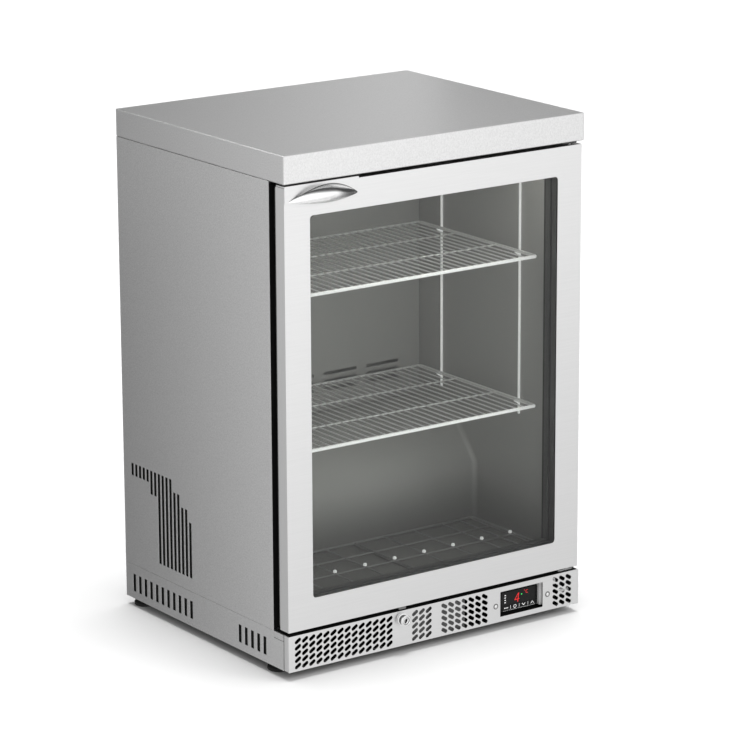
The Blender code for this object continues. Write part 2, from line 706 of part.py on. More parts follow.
def make_lock(finish):
    """A cam lock: turning the plug raises the cam in front of the door's catch."""
    x, z = LOCK
    boss = cylinder("lock_body", "Y", x, z, LOCK_RADIUS, at(-LOCK_PROUD), at(-GAP), finish["chrome"],
                    28, PLUG_HOLE)
    join(boss, cylinder("lock_barrel", "Y", x, z, LOCK_BARREL, at(-1.0), at(15.5), None, 28, PLUG_HOLE))
    plug = cylinder("lock_plug", "Y", x, z, PLUG_RADIUS, at(-LOCK_PROUD + 0.5), at(19.0), finish["chrome"])
    upper = [(x, z + PLUG_RADIUS), (x + CAM_REACH - 4, z + CAM_HALF), (x + CAM_REACH, z + CAM_HALF - 2)]
    lower = [(u, 2 * z - v) for u, v in reversed(upper)]
    join(plug, prism("lock_cam", upper + lower, "Y", at(CAM_DEPTHS[0]), at(CAM_DEPTHS[1])))
    cut(plug, box("lock_keyway", x - 0.7, x + 0.7, -LOCK_PROUD - 2, -LOCK_PROUD + 7, z - 3.4, z + 3.4))
    hang("lock_plug_axis", (x, at(0), z), plug)


def make_display(finish):
    """A small temperature controller set back in the plinth, with four keys under its window."""
    x0, x1, z0, z1 = DISPLAY
    front, thick = DISPLAY_DEPTH, 3.6
    keys = [(KEY_FIRST + KEY_PITCH * i, KEY_LOW) for i in range(len(KEY_NAMES))]
    holes = [rectangle(x - GAP, x + KEY_SIZE[0] + GAP, z - GAP, z + KEY_SIZE[1] + GAP) for x, z in keys]
    prism("controller_face", rounded(x0, x1, z0, z1, 2.5), "Y", at(front), at(front + thick),
          finish["display"], holes)
    for name, (x, z) in zip(KEY_NAMES, keys):
        key = box(name, x, x + KEY_SIZE[0], front - KEY_PROUD, front + 3.2, z, z + KEY_SIZE[1],
                  finish["display"])
        hang(name + "_axis", (x + KEY_SIZE[0] / 2, at(front), z + KEY_SIZE[1] / 2), key)
    box("controller_body", x0 + 2.5, x1 - 2.5, front + thick + 2 * GAP, 62, z0 + 2.5, z1 - 2.5,
        finish["black"])

    def round_hole(margin):
        hx0, hx1, hz0, hz1 = DISPLAY_HOLE
        return rectangle(hx0 - margin, hx1 + margin, hz0 - margin, hz1 + margin)

    frame = prism("controller_bracket", round_hole(4), "Y", at(SEAT), at(16.0), finish["grey"],
                  [round_hole(2.5)])
    join(frame, prism("bracket_back", round_hole(3), "Y", at(15.9), at(17.4), None,
                      [rectangle(x0 + 2.0, x1 - 2.0, z0 + 2.0, z1 - 2.0)]))


def make_hinges(finish):
    """Plates fixed to the case, each with the pin that the door turns on."""
    x, d = PIVOT
    left, right, front, back = 258.0, 290.0, 5.0, 90.0
    for word, plate_low, plate_high, pin in (("top", 815.4, 817.9, (800.0, 816.0)),
                                             ("bottom", 76.4, 79.0, (78.0, 96.0))):
        plate = box(f"hinge_bracket_{word}", left, right, front, back, plate_low, plate_high,
                    finish["plated"])
        join(plate, cylinder(f"{word}_pin", "Z", x, at(d), PIN_RADIUS, *pin))


# ---------------------------------------------------------------- door


def make_door(finish):
    x0, x1, z0, z1 = DOOR
    s0, s1, t0, t1 = SIGHT
    px, pd = PIVOT
    skin = prism("door_frame", rectangle(x0, x1, z0, z1), "Y", at(0), at(SHEET), finish["steel"],
                 [rounded(s0, s1, t0, t1, 6.0)])
    rim = prism("door_rim", rectangle(x0, x1, z0, z1), "Y", at(SHEET - BITE), at(DOOR_SKIN), None,
                [rectangle(x0 + SHEET, x1 - SHEET, z0 + SHEET, z1 - SHEET)])
    join(skin, rim)
    through = [cylinder(f"pin_hole_{i}", "Z", px, at(pd), BORE_RADIUS + 1.2, low, low + 10)
               for i, low in enumerate((z0 - 5, z1 - 5))]
    cut(skin, *through)

    inner = box("door_inner_frame", x0 + SEAT, x1 - SEAT, SEAT, DOOR_SKIN + GAP, z0 + SEAT, z1 - SEAT,
                finish["black"])
    join(inner, box("door_rear_step", x0 + 4.5, x1 - 4.5, 20, DOOR_BACK, z0 + 4.5, z1 - 4.5))
    pane = (s0 - PANE_OVERLAP, s1 + PANE_OVERLAP, t0 - PANE_OVERLAP, t1 + PANE_OVERLAP)
    pocket = (pane[0] - 0.5, pane[1] + 0.5, pane[2] - 0.5, pane[3] + 0.5)
    cut(inner,
        box("door_sight", s0, s1, -5, 50, t0, t1),
        box("door_pocket", pocket[0], pocket[1], -5, 22.0, pocket[2], pocket[3]),
        cylinder("bore_low", "Z", px, at(pd), BORE_RADIUS, z0, 97.0, None, 20),
        cylinder("bore_top", "Z", px, at(pd), BORE_RADIUS, 799.0, z1, None, 20))

    outer_glass = box("glass_outer", pane[0], pane[1], SEAT, 5.5, pane[2], pane[3], finish["glass"])
    inner_glass = box("glass_inner", pane[0], pane[1], 17.5, 21.5, pane[2], pane[3], finish["glass"])
    spacer = prism("glass_spacer", rectangle(*pane), "Y", at(5.8), at(17.2), finish["aluminium"],
                   [rectangle(pane[0] + 10, pane[1] - 10, pane[2] + 10, pane[3] - 10)])
    gasket = prism("door_gasket", rectangle(-285.0, 276.0, 92.0, 804.0), "Y",
                   at(DOOR_BACK + GAP), at(CASE_FRONT - GAP), finish["rubber"],
                   [rectangle(-271.0, 262.0, 106.0, 790.0)])
    hook_front, hook_back, plate_front, plate_low = 20.9, 23.9, 12.0, z0 - 2.0
    hook = ((hook_front, CATCH_LOW), (hook_back, CATCH_LOW), (hook_back, z0 - GAP),
            (plate_front, z0 - GAP), (plate_front, plate_low), (hook_front, plate_low))
    catch = prism("door_catch", [(at(d), z) for d, z in hook], "X", *CATCH_SIDES, finish["plated"])
    handle = make_handle(finish)
    hang("door_axis", (px, at(pd), 0), skin, inner, outer_glass, inner_glass, spacer, gasket, catch, handle)


def make_handle(finish):
    """A scoop, open upwards, at the door's top corner, on a plate folded over the door's top edge."""
    left, right = SCOOP_LEFT, SCOOP_RIGHT
    edge_left, edge_right = DOOR[0], HANDLE_RIGHT
    top = DOOR[3] + 3.0
    steps, rows = 14, 5

    def surface(u, v):
        """A point (x, depth, z) of the scoop: u runs from tip to tip, v from its low edge to its crest."""
        bow = math.sin(math.pi * u)
        low = SCOOP_TIP - (SCOOP_TIP - SCOOP_LOW) * bow ** 0.7
        high = SCOOP_TIP + 0.6 + (SCOOP_CREST - SCOOP_TIP) * bow ** 0.9
        proud = (PULL - 1.0) * bow ** 0.75 * math.sin(math.pi / 2 * v) ** 0.8
        return (left + (right - left) * u, -1.0 - proud, low + (high - low) * v)

    def depth_in(u, v):
        x, d, z = surface(u, v)
        return (x, min(d + SCOOP_THICK, -0.6 - 0.2 * v), z)

    bm = bmesh.new()
    sheets = []
    for shape in (surface, depth_in):
        columns = [[shape(i / steps, j / rows) for j in range(rows + 1)] for i in range(steps + 1)]
        sheets.append([[bm.verts.new(point("Y", x, z, at(d))) for x, d, z in column] for column in columns])
    outer, inner = sheets
    for i in range(steps):
        for j in range(rows):
            bm.faces.new((outer[i][j], outer[i + 1][j], outer[i + 1][j + 1], outer[i][j + 1]))
            bm.faces.new((inner[i][j + 1], inner[i + 1][j + 1], inner[i + 1][j], inner[i][j]))
        for j in (0, rows):
            bm.faces.new((outer[i][j], inner[i][j], inner[i + 1][j], outer[i + 1][j]))
    for i in (0, steps):
        for j in range(rows):
            bm.faces.new((outer[i][j], outer[i][j + 1], inner[i][j + 1], inner[i][j]))
    scoop = finish_mesh("handle_scoop", bm, None, smooth=50)
    outline = [(edge_left, 788.5), (left, 787.0), (-272.0, 782.0), (-244.0, 779.5), (-199.0, 781.0),
               (right, 787.0), (edge_right, 791.0), (edge_right, top), (edge_left, top)]
    plate = prism("handle", outline, "Y", at(-1.3), at(-GAP), finish["chrome"])
    return join(plate, box("handle_fold", edge_left, edge_right, -1.0, 22.0, DOOR[3] + GAP, top), scoop)


# ---------------------------------------------------------------- the whole


def main():
    clear_scene()
    finish = make_finishes()
    make_worktop(finish)
    make_top_panel(finish)
    make_side_panel("side_panel_left", -1, finish)
    make_side_panel("side_panel_right", 1, finish)
    make_back(finish)
    make_case_floor(finish)
    make_base(finish)
    make_feet(finish)
    make_grille(finish)
    make_liner(finish)
    make_insulation(finish)
    make_breaker(finish)
    make_strips(finish)
    make_shelves(finish)
    make_cold_rear(finish)
    make_lamp(finish)
    make_machine(finish)
    make_lock(finish)
    make_display(finish)
    make_hinges(finish)
    make_door(finish)


main()
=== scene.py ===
"""Looks of an under counter glass door fridge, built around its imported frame.

Lengths are in millimetres until a vertex is made. X runs to the right seen from the front,
depth runs back from the front of the door, and height runs up from the floor.
"""

import math

import bmesh
import bpy
from mathutils import Matrix, Vector


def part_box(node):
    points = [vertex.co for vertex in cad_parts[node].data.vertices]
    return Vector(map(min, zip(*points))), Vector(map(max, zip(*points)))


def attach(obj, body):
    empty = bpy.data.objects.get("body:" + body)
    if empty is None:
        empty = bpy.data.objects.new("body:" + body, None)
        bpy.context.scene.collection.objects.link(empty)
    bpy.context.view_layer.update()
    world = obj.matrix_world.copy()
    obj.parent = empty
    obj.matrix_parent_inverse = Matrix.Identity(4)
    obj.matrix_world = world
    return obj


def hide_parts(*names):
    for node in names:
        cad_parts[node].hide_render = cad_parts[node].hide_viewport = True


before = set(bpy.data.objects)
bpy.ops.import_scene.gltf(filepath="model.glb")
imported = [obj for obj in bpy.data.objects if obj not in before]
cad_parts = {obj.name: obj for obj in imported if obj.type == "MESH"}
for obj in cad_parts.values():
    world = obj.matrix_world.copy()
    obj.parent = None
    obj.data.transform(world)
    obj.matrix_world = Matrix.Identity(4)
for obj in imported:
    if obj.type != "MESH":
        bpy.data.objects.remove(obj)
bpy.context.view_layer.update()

MM = 0.001
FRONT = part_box("worktop")[0].y  # depth 0
GAP = 0.3  # room between neighbouring panels
SHEET = 1.2  # thickness of the casing's sheets

# Fixed places of the frame that several pieces share
SIDES = ((-1, "left"), (1, "right"))
SIDE = 299.7
CASE_FRONT, CASE_BACK = 43, 494.7
BASE_LOW, BASE_HIGH = 15, 76
TOP_LOW, TOP = 818.5, 865
PIVOT = (279, 14)
LOCK = (-73, 61)
CABIN_HALF = 262
CABIN = ((44.5, 112), (243, 112), (243, 215), (315, 303),
         (455, 303), (455, 785), (44.5, 785))
SIGHT = (-250.5, 245.5, 133, 764)
COLD_FAN = (0, 700)
HOT_FAN = (378, 112)
FEET = {"foot_front_left": (-276, 64), "foot_front_right": (276, 64),
        "foot_rear_left": (-276, 472), "foot_rear_right": (276, 472)}


# -------- geometry


def place(x, d, z):
    return Vector((x * MM, FRONT + d * MM, z * MM))


def spot(axis, u, v, w):
    """The point (u, v) of the plane across axis, at w along it. On X, u is a depth; on Z, v is."""
    if axis == "X":
        return place(w, u, v)
    if axis == "Y":
        return place(u, w, v)
    return place(u, v, w)


def link(name, data, finish=None):
    obj = bpy.data.objects.new(name, data)
    bpy.context.scene.collection.objects.link(obj)
    if finish:
        data.materials.append(FINISH[finish])
    return obj


def solid(name, bm, finish, smooth=None):
    bmesh.ops.recalc_face_normals(bm, faces=bm.faces)
    mesh = bpy.data.meshes.new(name)
    bm.to_mesh(mesh)
    bm.free()
    if smooth is not None:
        mesh.shade_smooth()
        mesh.set_sharp_from_angle(angle=math.radians(smooth))
    return link(name, mesh, finish)


def baked(obj):
    """A mesh of the object as it shows, with its modifiers or curve worked out."""
    bpy.context.view_layer.update()
    shown = obj.evaluated_get(bpy.context.evaluated_depsgraph_get())
    return bpy.data.meshes.new_from_object(shown)


def from_curve(name, curve, finish, smooth, shape=None, merge=0):
    """A mesh from a curve; shape turns each of its points into a place."""
    drawn = link(name + "_curve", curve)
    mesh = baked(drawn)
    bpy.data.objects.remove(drawn)
    bm = bmesh.new()
    bm.from_mesh(mesh)
    bpy.data.meshes.remove(mesh)
    if merge:
        bmesh.ops.remove_doubles(bm, verts=bm.verts, dist=merge)
    if shape:
        for vert in bm.verts:
            vert.co = shape(vert.co)
    return solid(name, bm, finish, smooth)


def plate(name, loops, axis, low, high, finish, edge=0.25, rounding=1):
    """A flat plate with holes: the first loop is its outline. Its edges are rounded."""
    curve = bpy.data.curves.new(name, "CURVE")
    curve.dimensions = "2D"
    curve.fill_mode = "BOTH"
    curve.extrude = (high - low) / 2 - edge
    curve.bevel_depth = edge
    curve.bevel_resolution = rounding
    curve.offset = -edge
    for loop in loops:
        spline = curve.splines.new("POLY")
        spline.points.add(len(loop) - 1)
        for knot, (u, v) in zip(spline.points, loop):
            knot.co = (u, v, 0, 1)
        spline.use_cyclic_u = True
    middle = (low + high) / 2
    return from_curve(name, curve, finish, 50, lambda p: spot(axis, p.x, p.y, middle + p.z), 0.002)


def wires(name, runs, finish):
    """Round wires and tubes: each run is (points, radius, closed), its points as (x, depth, height)."""
    curve = bpy.data.curves.new(name, "CURVE")
    curve.dimensions = "3D"
    curve.bevel_depth = MM
    curve.bevel_resolution = 3
    curve.use_fill_caps = True
    for points, radius, closed in runs:
        spline = curve.splines.new("POLY")
        spline.points.add(len(points) - 1)
        for knot, point in zip(spline.points, points):
            knot.co = (*place(*point), 1)
            knot.radius = radius
        spline.use_cyclic_u = closed
    return from_curve(name, curve, finish, 50)


def route(points):
    """A smooth line through the points, read about every 8 mm."""
    line = []
    ends = [points[0], *points, points[-1]]
    for a, b, c, d in zip(ends, ends[1:], ends[2:], ends[3:]):
        a, b, c, d = (Vector(p) for p in (a, b, c, d))
        count = max(3, round((c - b).length / 8))
        for i in range(count):
            t = i / count
            line.append(((2 * b) + (c - a) * t + (2 * a - 5 * b + 4 * c - d) * t * t
                         + (3 * b - a - 3 * c + d) * t ** 3) / 2)
    return [*line, Vector(points[-1])]


def arc(cu, cv, radius, start, turn, steps):
    angles = [math.radians(start + turn * i / steps) for i in range(steps + 1)]
    return [(cu + radius * math.cos(angle), cv + radius * math.sin(angle)) for angle in angles]


def circle(cu, cv, radius, steps=32):
    return arc(cu, cv, radius, 0, 360, steps)[:-1]


def rectangle(u0, u1, v0, v1):
    return [(u0, v0), (u1, v0), (u1, v1), (u0, v1)]


def span(side, a, b):
    """From a to b on one side of the middle, lowest first."""
    return sorted((side * a, side * b))


def rounded(u0, u1, v0, v1, radius, steps=6):
    corners = ((u1 - radius, v0 + radius, -90), (u1 - radius, v1 - radius, 0),
               (u0 + radius, v1 - radius, 90), (u0 + radius, v0 + radius, 180))
    return [p for cu, cv, start in corners for p in arc(cu, cv, radius, start, 90, steps)]


def slot(cu, cv, length, width, tilt=0):
    """A long hole with round ends, turned by tilt."""
    reach = (length - width) / 2
    flat = arc(reach, 0, width / 2, -90, 180, 8) + arc(-reach, 0, width / 2, 90, 180, 8)
    along, up = math.cos(tilt), math.sin(tilt)
    return [(cu + u * along - v * up, cv + u * up + v * along) for u, v in flat]


def louvre(depth, low, high, width=7.8):
    return rounded(depth - width / 2, depth + width / 2, low, high, 0.8, 2)


def stitched(bm, rings, closed):
    """Faces between neighbouring rings of vertices; a ring of one vertex is a pole."""
    pairs = list(zip(rings, rings[1:])) + ([(rings[-1], rings[0])] if closed else [])
    for a, b in pairs:
        count = max(len(a), len(b))
        for i in range(count):
            j = (i + 1) % count
            if len(a) == 1:
                bm.faces.new((a[0], b[i], b[j]))
            elif len(b) == 1:
                bm.faces.new((a[j], a[i], b[0]))
            else:
                bm.faces.new((a[i], b[i], b[j], a[j]))


def swept(name, loops, axis, finish, smooth, closed):
    """A skin over (loop of points, place along axis) pairs."""
    bm = bmesh.new()
    rings = [[bm.verts.new(spot(axis, u, v, along)) for u, v in loop] for loop, along in loops]
    stitched(bm, rings, closed)
    return solid(name, bm, finish, smooth)


def turned(name, profile, axis, centre, finish, steps=40, smooth=32, closed=False):
    """A turned piece from (radius, place along axis) points."""
    loops = [(circle(*centre, radius, steps) if radius else [centre], along) for radius, along in profile]
    return swept(name, loops, axis, finish, smooth, closed)


def framed(name, outline, section, axis, finish, radius=4, steps=6, smooth=35):
    """A profile run round a rounded rectangle: section holds (inset, place along axis) points."""
    u0, u1, v0, v1 = outline
    loops = [(rounded(u0 + inset, u1 - inset, v0 + inset, v1 - inset, max(radius - inset, 0.4), steps), along)
             for inset, along in section]
    return swept(name, loops, axis, finish, smooth, True)


def rounded_edges(bm, edges, radius, steps):
    bmesh.ops.bevel(bm, geom=edges, offset=radius * MM, segments=steps, profile=0.5, affect="EDGES")


def slab(name, x0, x1, d0, d1, z0, z1, finish, edge=0.8, rounding=2):
    """A block with rounded edges."""
    bm = bmesh.new()
    bmesh.ops.create_cube(bm, size=1)
    low, high = place(x0, d0, z0), place(x1, d1, z1)
    for vert in bm.verts:
        vert.co = [a + (b - a) * (c + 0.5) for a, b, c in zip(low, high, vert.co)]
    rounded_edges(bm, list(bm.edges), edge, rounding)
    return solid(name, bm, finish, 40)


def joined(name, *parts):
    """One piece from several, each keeping its own finishes."""
    bm = bmesh.new()
    finishes = []
    for part in parts:
        start = len(bm.faces)
        bm.from_mesh(part.data)
        bm.faces.ensure_lookup_table()
        for face in bm.faces[start:]:
            finish = part.data.materials[face.material_index]
            if finish not in finishes:
                finishes.append(finish)
            face.material_index = finishes.index(finish)
    mesh = bpy.data.meshes.new(name)
    bm.to_mesh(mesh)
    bm.free()
    for finish in finishes:
        mesh.materials.append(finish)
    for part in parts:
        bpy.data.objects.remove(part)
    return link(name, mesh)


def carved(obj, *cutters):
    """The object with the cutters taken out of it."""
    for cutter in cutters:
        step = obj.modifiers.new("carve", "BOOLEAN")
        step.operation = "DIFFERENCE"
        step.solver = "EXACT"
        step.object = cutter
    mesh = baked(obj)
    obj.modifiers.clear()
    obj.data = mesh
    for cutter in cutters:
        bpy.data.objects.remove(cutter)
    return obj


def shown(obj, finish_slot, *nodes, body="cabinet"):
    """The piece rides on a body and stands for the CAD nodes; finish_slot is not used."""
    even = obj.modifiers.new("even", "WEIGHTED_NORMAL")
    even.keep_sharp = True
    even.weight = 90
    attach(obj, body)
    if nodes:
        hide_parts(*nodes)


# -------- materials

FINISH = {}
WHITE = (1, 1, 1, 1)
SPREAD = (0.3, 0.7)  # the part of a pattern's range that its colours take up
MIX_A, MIX_B, MIX_OUT = 6, 7, 2  # a Mix node's colour sockets


def shader_node(tree, kind, inputs=None, **settings):
    """A node whose inputs take a value, or another node's output."""
    node = tree.nodes.new("ShaderNode" + kind)
    for key, value in settings.items():
        setattr(node, key, value)
    for key, value in (inputs or {}).items():
        if isinstance(value, bpy.types.NodeSocket):
            tree.links.new(value, node.inputs[key])
        else:
            node.inputs[key].default_value = value
    return node


def new_finish(name):
    """A finish that pieces ask for by its name."""
    finish = bpy.data.materials.new(name)
    finish.use_nodes = True
    FINISH[name] = finish
    return finish


def blank_finish(name):
    """A finish with no nodes yet, and its tree."""
    finish = new_finish(name)
    finish.node_tree.nodes.clear()
    return finish, finish.node_tree


def principled(name, metallic=0, **sockets):
    shader = new_finish(name).node_tree.nodes["Principled BSDF"]
    shader.inputs["Metallic"].default_value = metallic
    for key, value in sockets.items():
        shader.inputs[key.replace("_", " ")].default_value = value
    return shader


def tone(level):
    """A single number is a grey."""
    return (*(level if isinstance(level, tuple) else (level,) * 3), 1)


def varied(name, metallic, scale, dark, light, rough, bump=0, depth=0.0001, cells=False, **sockets):
    """Colour, roughness and relief that vary over the surface at the given scale per metre.

    rough is the range of the roughness. A scale of one number is the same along each axis.
    """
    shader = principled(name, metallic, **sockets)
    tree = shader.id_data
    scales = scale if isinstance(scale, tuple) else (scale,) * 3
    coords = shader_node(tree, "TexCoord").outputs["Object"]
    vector = shader_node(tree, "Mapping", {"Vector": coords, "Scale": scales}).outputs["Vector"]
    inputs = {"Vector": vector, "Scale": 1}
    if cells:
        pattern = shader_node(tree, "TexVoronoi", inputs).outputs["Color"]
        factor = shader_node(tree, "RGBToBW", {"Color": pattern}).outputs["Val"]
    else:
        inputs |= {"Detail": 3, "Roughness": 0.6}
        factor = shader_node(tree, "TexNoise", inputs).outputs["Fac"]
    shades = shader_node(tree, "ValToRGB", {"Fac": factor})
    for element, position, shade in zip(shades.color_ramp.elements, SPREAD, (dark, light)):
        element.position = position
        element.color = tone(shade)
    tree.links.new(shades.outputs["Color"], shader.inputs["Base Color"])
    ends = dict(zip(("From Min", "From Max", "To Min", "To Max"), (*SPREAD, *rough)))
    spread = shader_node(tree, "MapRange", {"Value": factor, **ends})
    tree.links.new(spread.outputs["Result"], shader.inputs["Roughness"])
    if bump:
        relief = shader_node(tree, "Bump", {"Strength": bump, "Distance": depth, "Height": factor})
        tree.links.new(relief.outputs["Normal"], shader.inputs["Normal"])


def paint_shade(name, dark, keep):
    """Paint shade into the finish's colour by mixing it towards dark; keep(tree) is the output that says how
    much stays.
    """
    tree = FINISH[name].node_tree
    colour = tree.nodes["Principled BSDF"].inputs["Base Color"]
    mix = shader_node(tree, "Mix", {0: keep(tree), MIX_A: (*dark, 1)}, data_type="RGBA")
    tree.links.new(colour.links[0].from_socket, mix.inputs[MIX_B])
    tree.links.new(mix.outputs[MIX_OUT], colour)


def painted_floor_shade(tree):
    """How much colour stays under the painted shade: low at the foot of the cold space, rising to 1 up its
    walls.
    """
    coords = shader_node(tree, "TexCoord").outputs["Object"]
    height = shader_node(tree, "SeparateXYZ", {"Vector": coords}).outputs["Z"]
    rise = {"Value": height, "From Min": 0.110, "From Max": 0.24, "To Min": 0.36, "To Max": 1}
    return shader_node(tree, "MapRange", rise, interpolation_type="SMOOTHSTEP").outputs["Result"]


def painted_vertex_shade(tree):
    """The square of the painted shade and painted reflection stored on the piece's vertices."""
    shade = shader_node(tree, "Attribute", attribute_name="shade").outputs["Fac"]
    return shader_node(tree, "Math", {0: shade, 1: 2}, operation="POWER").outputs["Value"]


def glass_finish(name):
    """Clear sheet glass that tints what is behind it and mirrors what is in front."""
    tree = blank_finish(name)[1]
    fresnel = shader_node(tree, "Fresnel", {"IOR": 1.36}).outputs["Fac"]
    inside = shader_node(tree, "NewGeometry").outputs["Backfacing"]
    facing = shader_node(tree, "Math", {0: 1, 1: inside}, operation="SUBTRACT").outputs["Value"]
    factor = shader_node(tree, "Math", {0: fresnel, 1: facing}, operation="MULTIPLY").outputs["Value"]
    through = shader_node(tree, "BsdfTransparent", {"Color": (0.935, 0.94, 0.935, 1)}).outputs["BSDF"]
    mirror = shader_node(tree, "BsdfAnisotropic", {"Color": WHITE, "Roughness": 0.02}).outputs["BSDF"]
    mix = shader_node(tree, "MixShader", {"Fac": factor, 1: through, 2: mirror}).outputs["Shader"]
    shader_node(tree, "OutputMaterial", {"Surface": mix})


def lamp_finish(name, colour, strength):
    light = (*colour, 1)
    principled(name, Base_Color=light, Roughness=0.4, Emission_Color=light, Emission_Strength=strength)


def make_finishes():
    """Each row: name, metallic, grain per metre, darkest, lightest, range of roughness, relief."""
    grain, glow = (560, 560, 420), {"Emission_Color": WHITE}
    dull, matt = {"Specular_IOR_Level": 0.2}, {"Specular_IOR_Level": 0.15}
    varied("brushed_steel", 1, grain, 0.65, 0.83, (0.30, 0.39), 0.02)
    varied("top_steel", 1, grain, 0.67, 0.81, (0.30, 0.39), 0.015)
    varied("door_steel", 1, (14, 700, 700), 0.75, 0.78, (0.31, 0.36), 0.015)
    varied("galvanised_steel", 0.9, 90, (0.4508, 0.46, 0.4692), (0.5684, 0.58, 0.5916), (0.38, 0.55),
           cells=True)
    varied("foam_insulation", 0, 400, (0.74, 0.63, 0.34), (0.86, 0.77, 0.50), (0.85, 0.95), 0.5, 0.0008)
    varied("core_foam", 0, 400, 0.025, 0.035, (0.85, 0.95), 0.3, 0.0006)
    varied("frame_plastic", 0, 900, 0.08, 0.09, (0.42, 0.6), 0.1)
    varied("rack_wire", 0.6, 300, 0.26, 0.34, (0.34, 0.46))
    varied("liner_aluminium", 0.2, 60, (0.405, 0.401, 0.390), (0.425, 0.421, 0.410), (0.52, 0.58))
    # painted shade: the liner's colour darkens towards the floor of the cold space
    paint_shade("liner_aluminium", (0.02, 0.018, 0.017), painted_floor_shade)
    varied("black_plastic", 0, 900, 0.014, 0.022, (0.42, 0.6), 0.2)
    varied("fan_plastic", 0, 700, 0.024, 0.036, (0.34, 0.48), 0.1)
    varied("display_plastic", 0, 500, 0.010, 0.015, (0.10, 0.16), **matt)
    varied("key_rubber", 0, 800, 0.010, 0.015, (0.30, 0.42), 0.1, **matt)
    varied("duct_grey", 0, 300, 0.13, 0.155, (0.55, 0.65))
    varied("grey_plastic", 0, 600, 0.72, 0.78, (0.40, 0.55), 0.1)
    # white plastic, also used for clips that stand for glints through the grille: painted highlight
    varied("white_plastic", 0, 500, 0.78, 0.86, (0.34, 0.46), 0.05)
    # white plastic given a faint painted glow, though it is no lamp
    varied("white_painted_glow", 0, 500, 0.9, 0.95, (0.36, 0.46), Emission_Strength=0.35, **glow)
    varied("gasket_rubber", 0, 800, 0.007, 0.013, (0.62, 0.8), 0.1, **dull)
    varied("foot_rubber", 0, 500, 0.009, 0.018, (0.6, 0.82), 0.3, 0.0002, **dull)
    glass_finish("clear_glass")
    varied("spacer_aluminium", 1, 700, 0.17, 0.22, (0.35, 0.5))
    varied("handle_chrome", 0.9, (500, 500, 60), 0.9, 0.94, (0.22, 0.28))
    # painted shade and painted reflection on the handle's scoop, from the shade stored on its vertices
    paint_shade("handle_chrome", (0.02, 0.02, 0.021), painted_vertex_shade)
    varied("lock_chrome", 1, 600, 0.78, 0.84, (0.10, 0.2))
    varied("shelf_chrome", 0.25, 300, 0.91, 0.95, (0.28, 0.4))
    varied("plated_steel", 1, 300, 0.56, 0.66, (0.24, 0.38), 0.04)
    # black enamel, also used as painted shade on the lock's waist and the top hinge plate
    varied("black_enamel", 0, 250, 0.016, 0.03, (0.26, 0.42), 0.15, 0.0002, Coat_Weight=0.3)
    varied("copper_tube", 1, 180, (0.60, 0.33, 0.21), (0.78, 0.48, 0.34), (0.22, 0.42))
    varied("coil_aluminium", 1, 400, 0.62, 0.74, (0.28, 0.44))
    # nearly black: the colour of real black parts, and painted shade where gaps, slots and the keyway hold
    # only shade
    varied("seal_black", 0, 600, 0.004, 0.008, (0.6, 0.8), Specular_IOR_Level=0.1)
    # white print given a faint painted glow, though it is no lamp
    varied("legend_painted_glow", 0, 900, 0.76, 0.84, (0.45, 0.55), Emission_Strength=0.3, **glow)
    varied("studio_floor", 0, 3, 0.605, 0.615, (0.78, 0.85))
    lamp_finish("lamp_white", (1, 0.97, 0.92), 14)
    lamp_finish("lamp_red", (0.62, 0.01, 0.01), 0.62)
    lamp_finish("lamp_green", (0.02, 0.7, 0.1), 0.8)


def dress(node, finish, edge=0, rounding=2):
    """A CAD node kept as it is, with its finish and softened edges."""
    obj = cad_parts[node]
    if not obj.material_slots:
        obj.data.materials.append(None)
    for held in obj.material_slots:
        held.material = FINISH[finish]
    if edge:
        weld = obj.modifiers.new("weld", "WELD")
        weld.merge_threshold = 0.00001
        flat = obj.modifiers.new("flat", "DECIMATE")
        flat.decimate_type = "DISSOLVE"
        flat.angle_limit = math.radians(0.5)
        soft = obj.modifiers.new("soft", "BEVEL")
        soft.width = edge * MM
        soft.segments = rounding
        soft.limit_method = "ANGLE"
        soft.angle_limit = math.radians(35)


# -------- fasteners


def screw(name, x, d, z, axis, side, radius=3.6, finish="plated_steel"):
    """A pan head screw with a cross in its head, standing towards side along axis."""
    height, arm, width = radius * 0.62, radius * 0.62, radius * 0.2
    cu, cv, base = {"X": (d, z, x), "Y": (x, z, d), "Z": (x, d, z)}[axis]
    dome = [(radius * u, height * v) for u, v in arc(0, 0, 1, 0, 75, 5)]
    profile = [(0, 0), *dome, (0, height)]
    head = turned(name, [(r, base + side * a) for r, a in profile], axis, (cu, cv), finish, 24)
    ends = sorted((base + side * height * 0.45, base + side * (height + 1)))
    cross = [plate(name + "_cross", [rectangle(cu - u, cu + u, cv - v, cv + v)], axis, *ends, "seal_black",
                   0.02, 0) for u, v in ((arm, width), (width, arm))]
    return carved(head, *cross)


# -------- casing


def make_worktop():
    x, back = 300, 495
    below = TOP_LOW - 18.5  # the cutter passes through the tray's open underside
    tray = slab("tray", -x, x, 0, back, TOP_LOW, TOP, "top_steel", 2, 3)
    hollow = (SHEET - x, x - SHEET, SHEET, back - SHEET, below, TOP - SHEET)
    inside = slab("tray_inside", *hollow, "top_steel", 1, 2)
    shown(carved(tray, inside), "brushed_steel", "worktop")
    dress("worktop_core", "core_foam")
    dress("top_panel", "galvanised_steel", 0.3)
    dress("insulation", "foam_insulation")
    dress("case_floor", "galvanised_steel", 0.3)


def side_louvres():
    """Air slots over the machine space, from the back, following its stepped ceiling."""
    first, pitch = 467, 11.9
    tops = [258] * 11 + [237] * 2 + [216.6] * 2 + [196.3]
    lows = [236.3] * 5 + [216.2] * 2 + [99.5] * 9
    return [louvre(first - pitch * i, low, top) for i, (low, top) in enumerate(zip(lows, tops))]


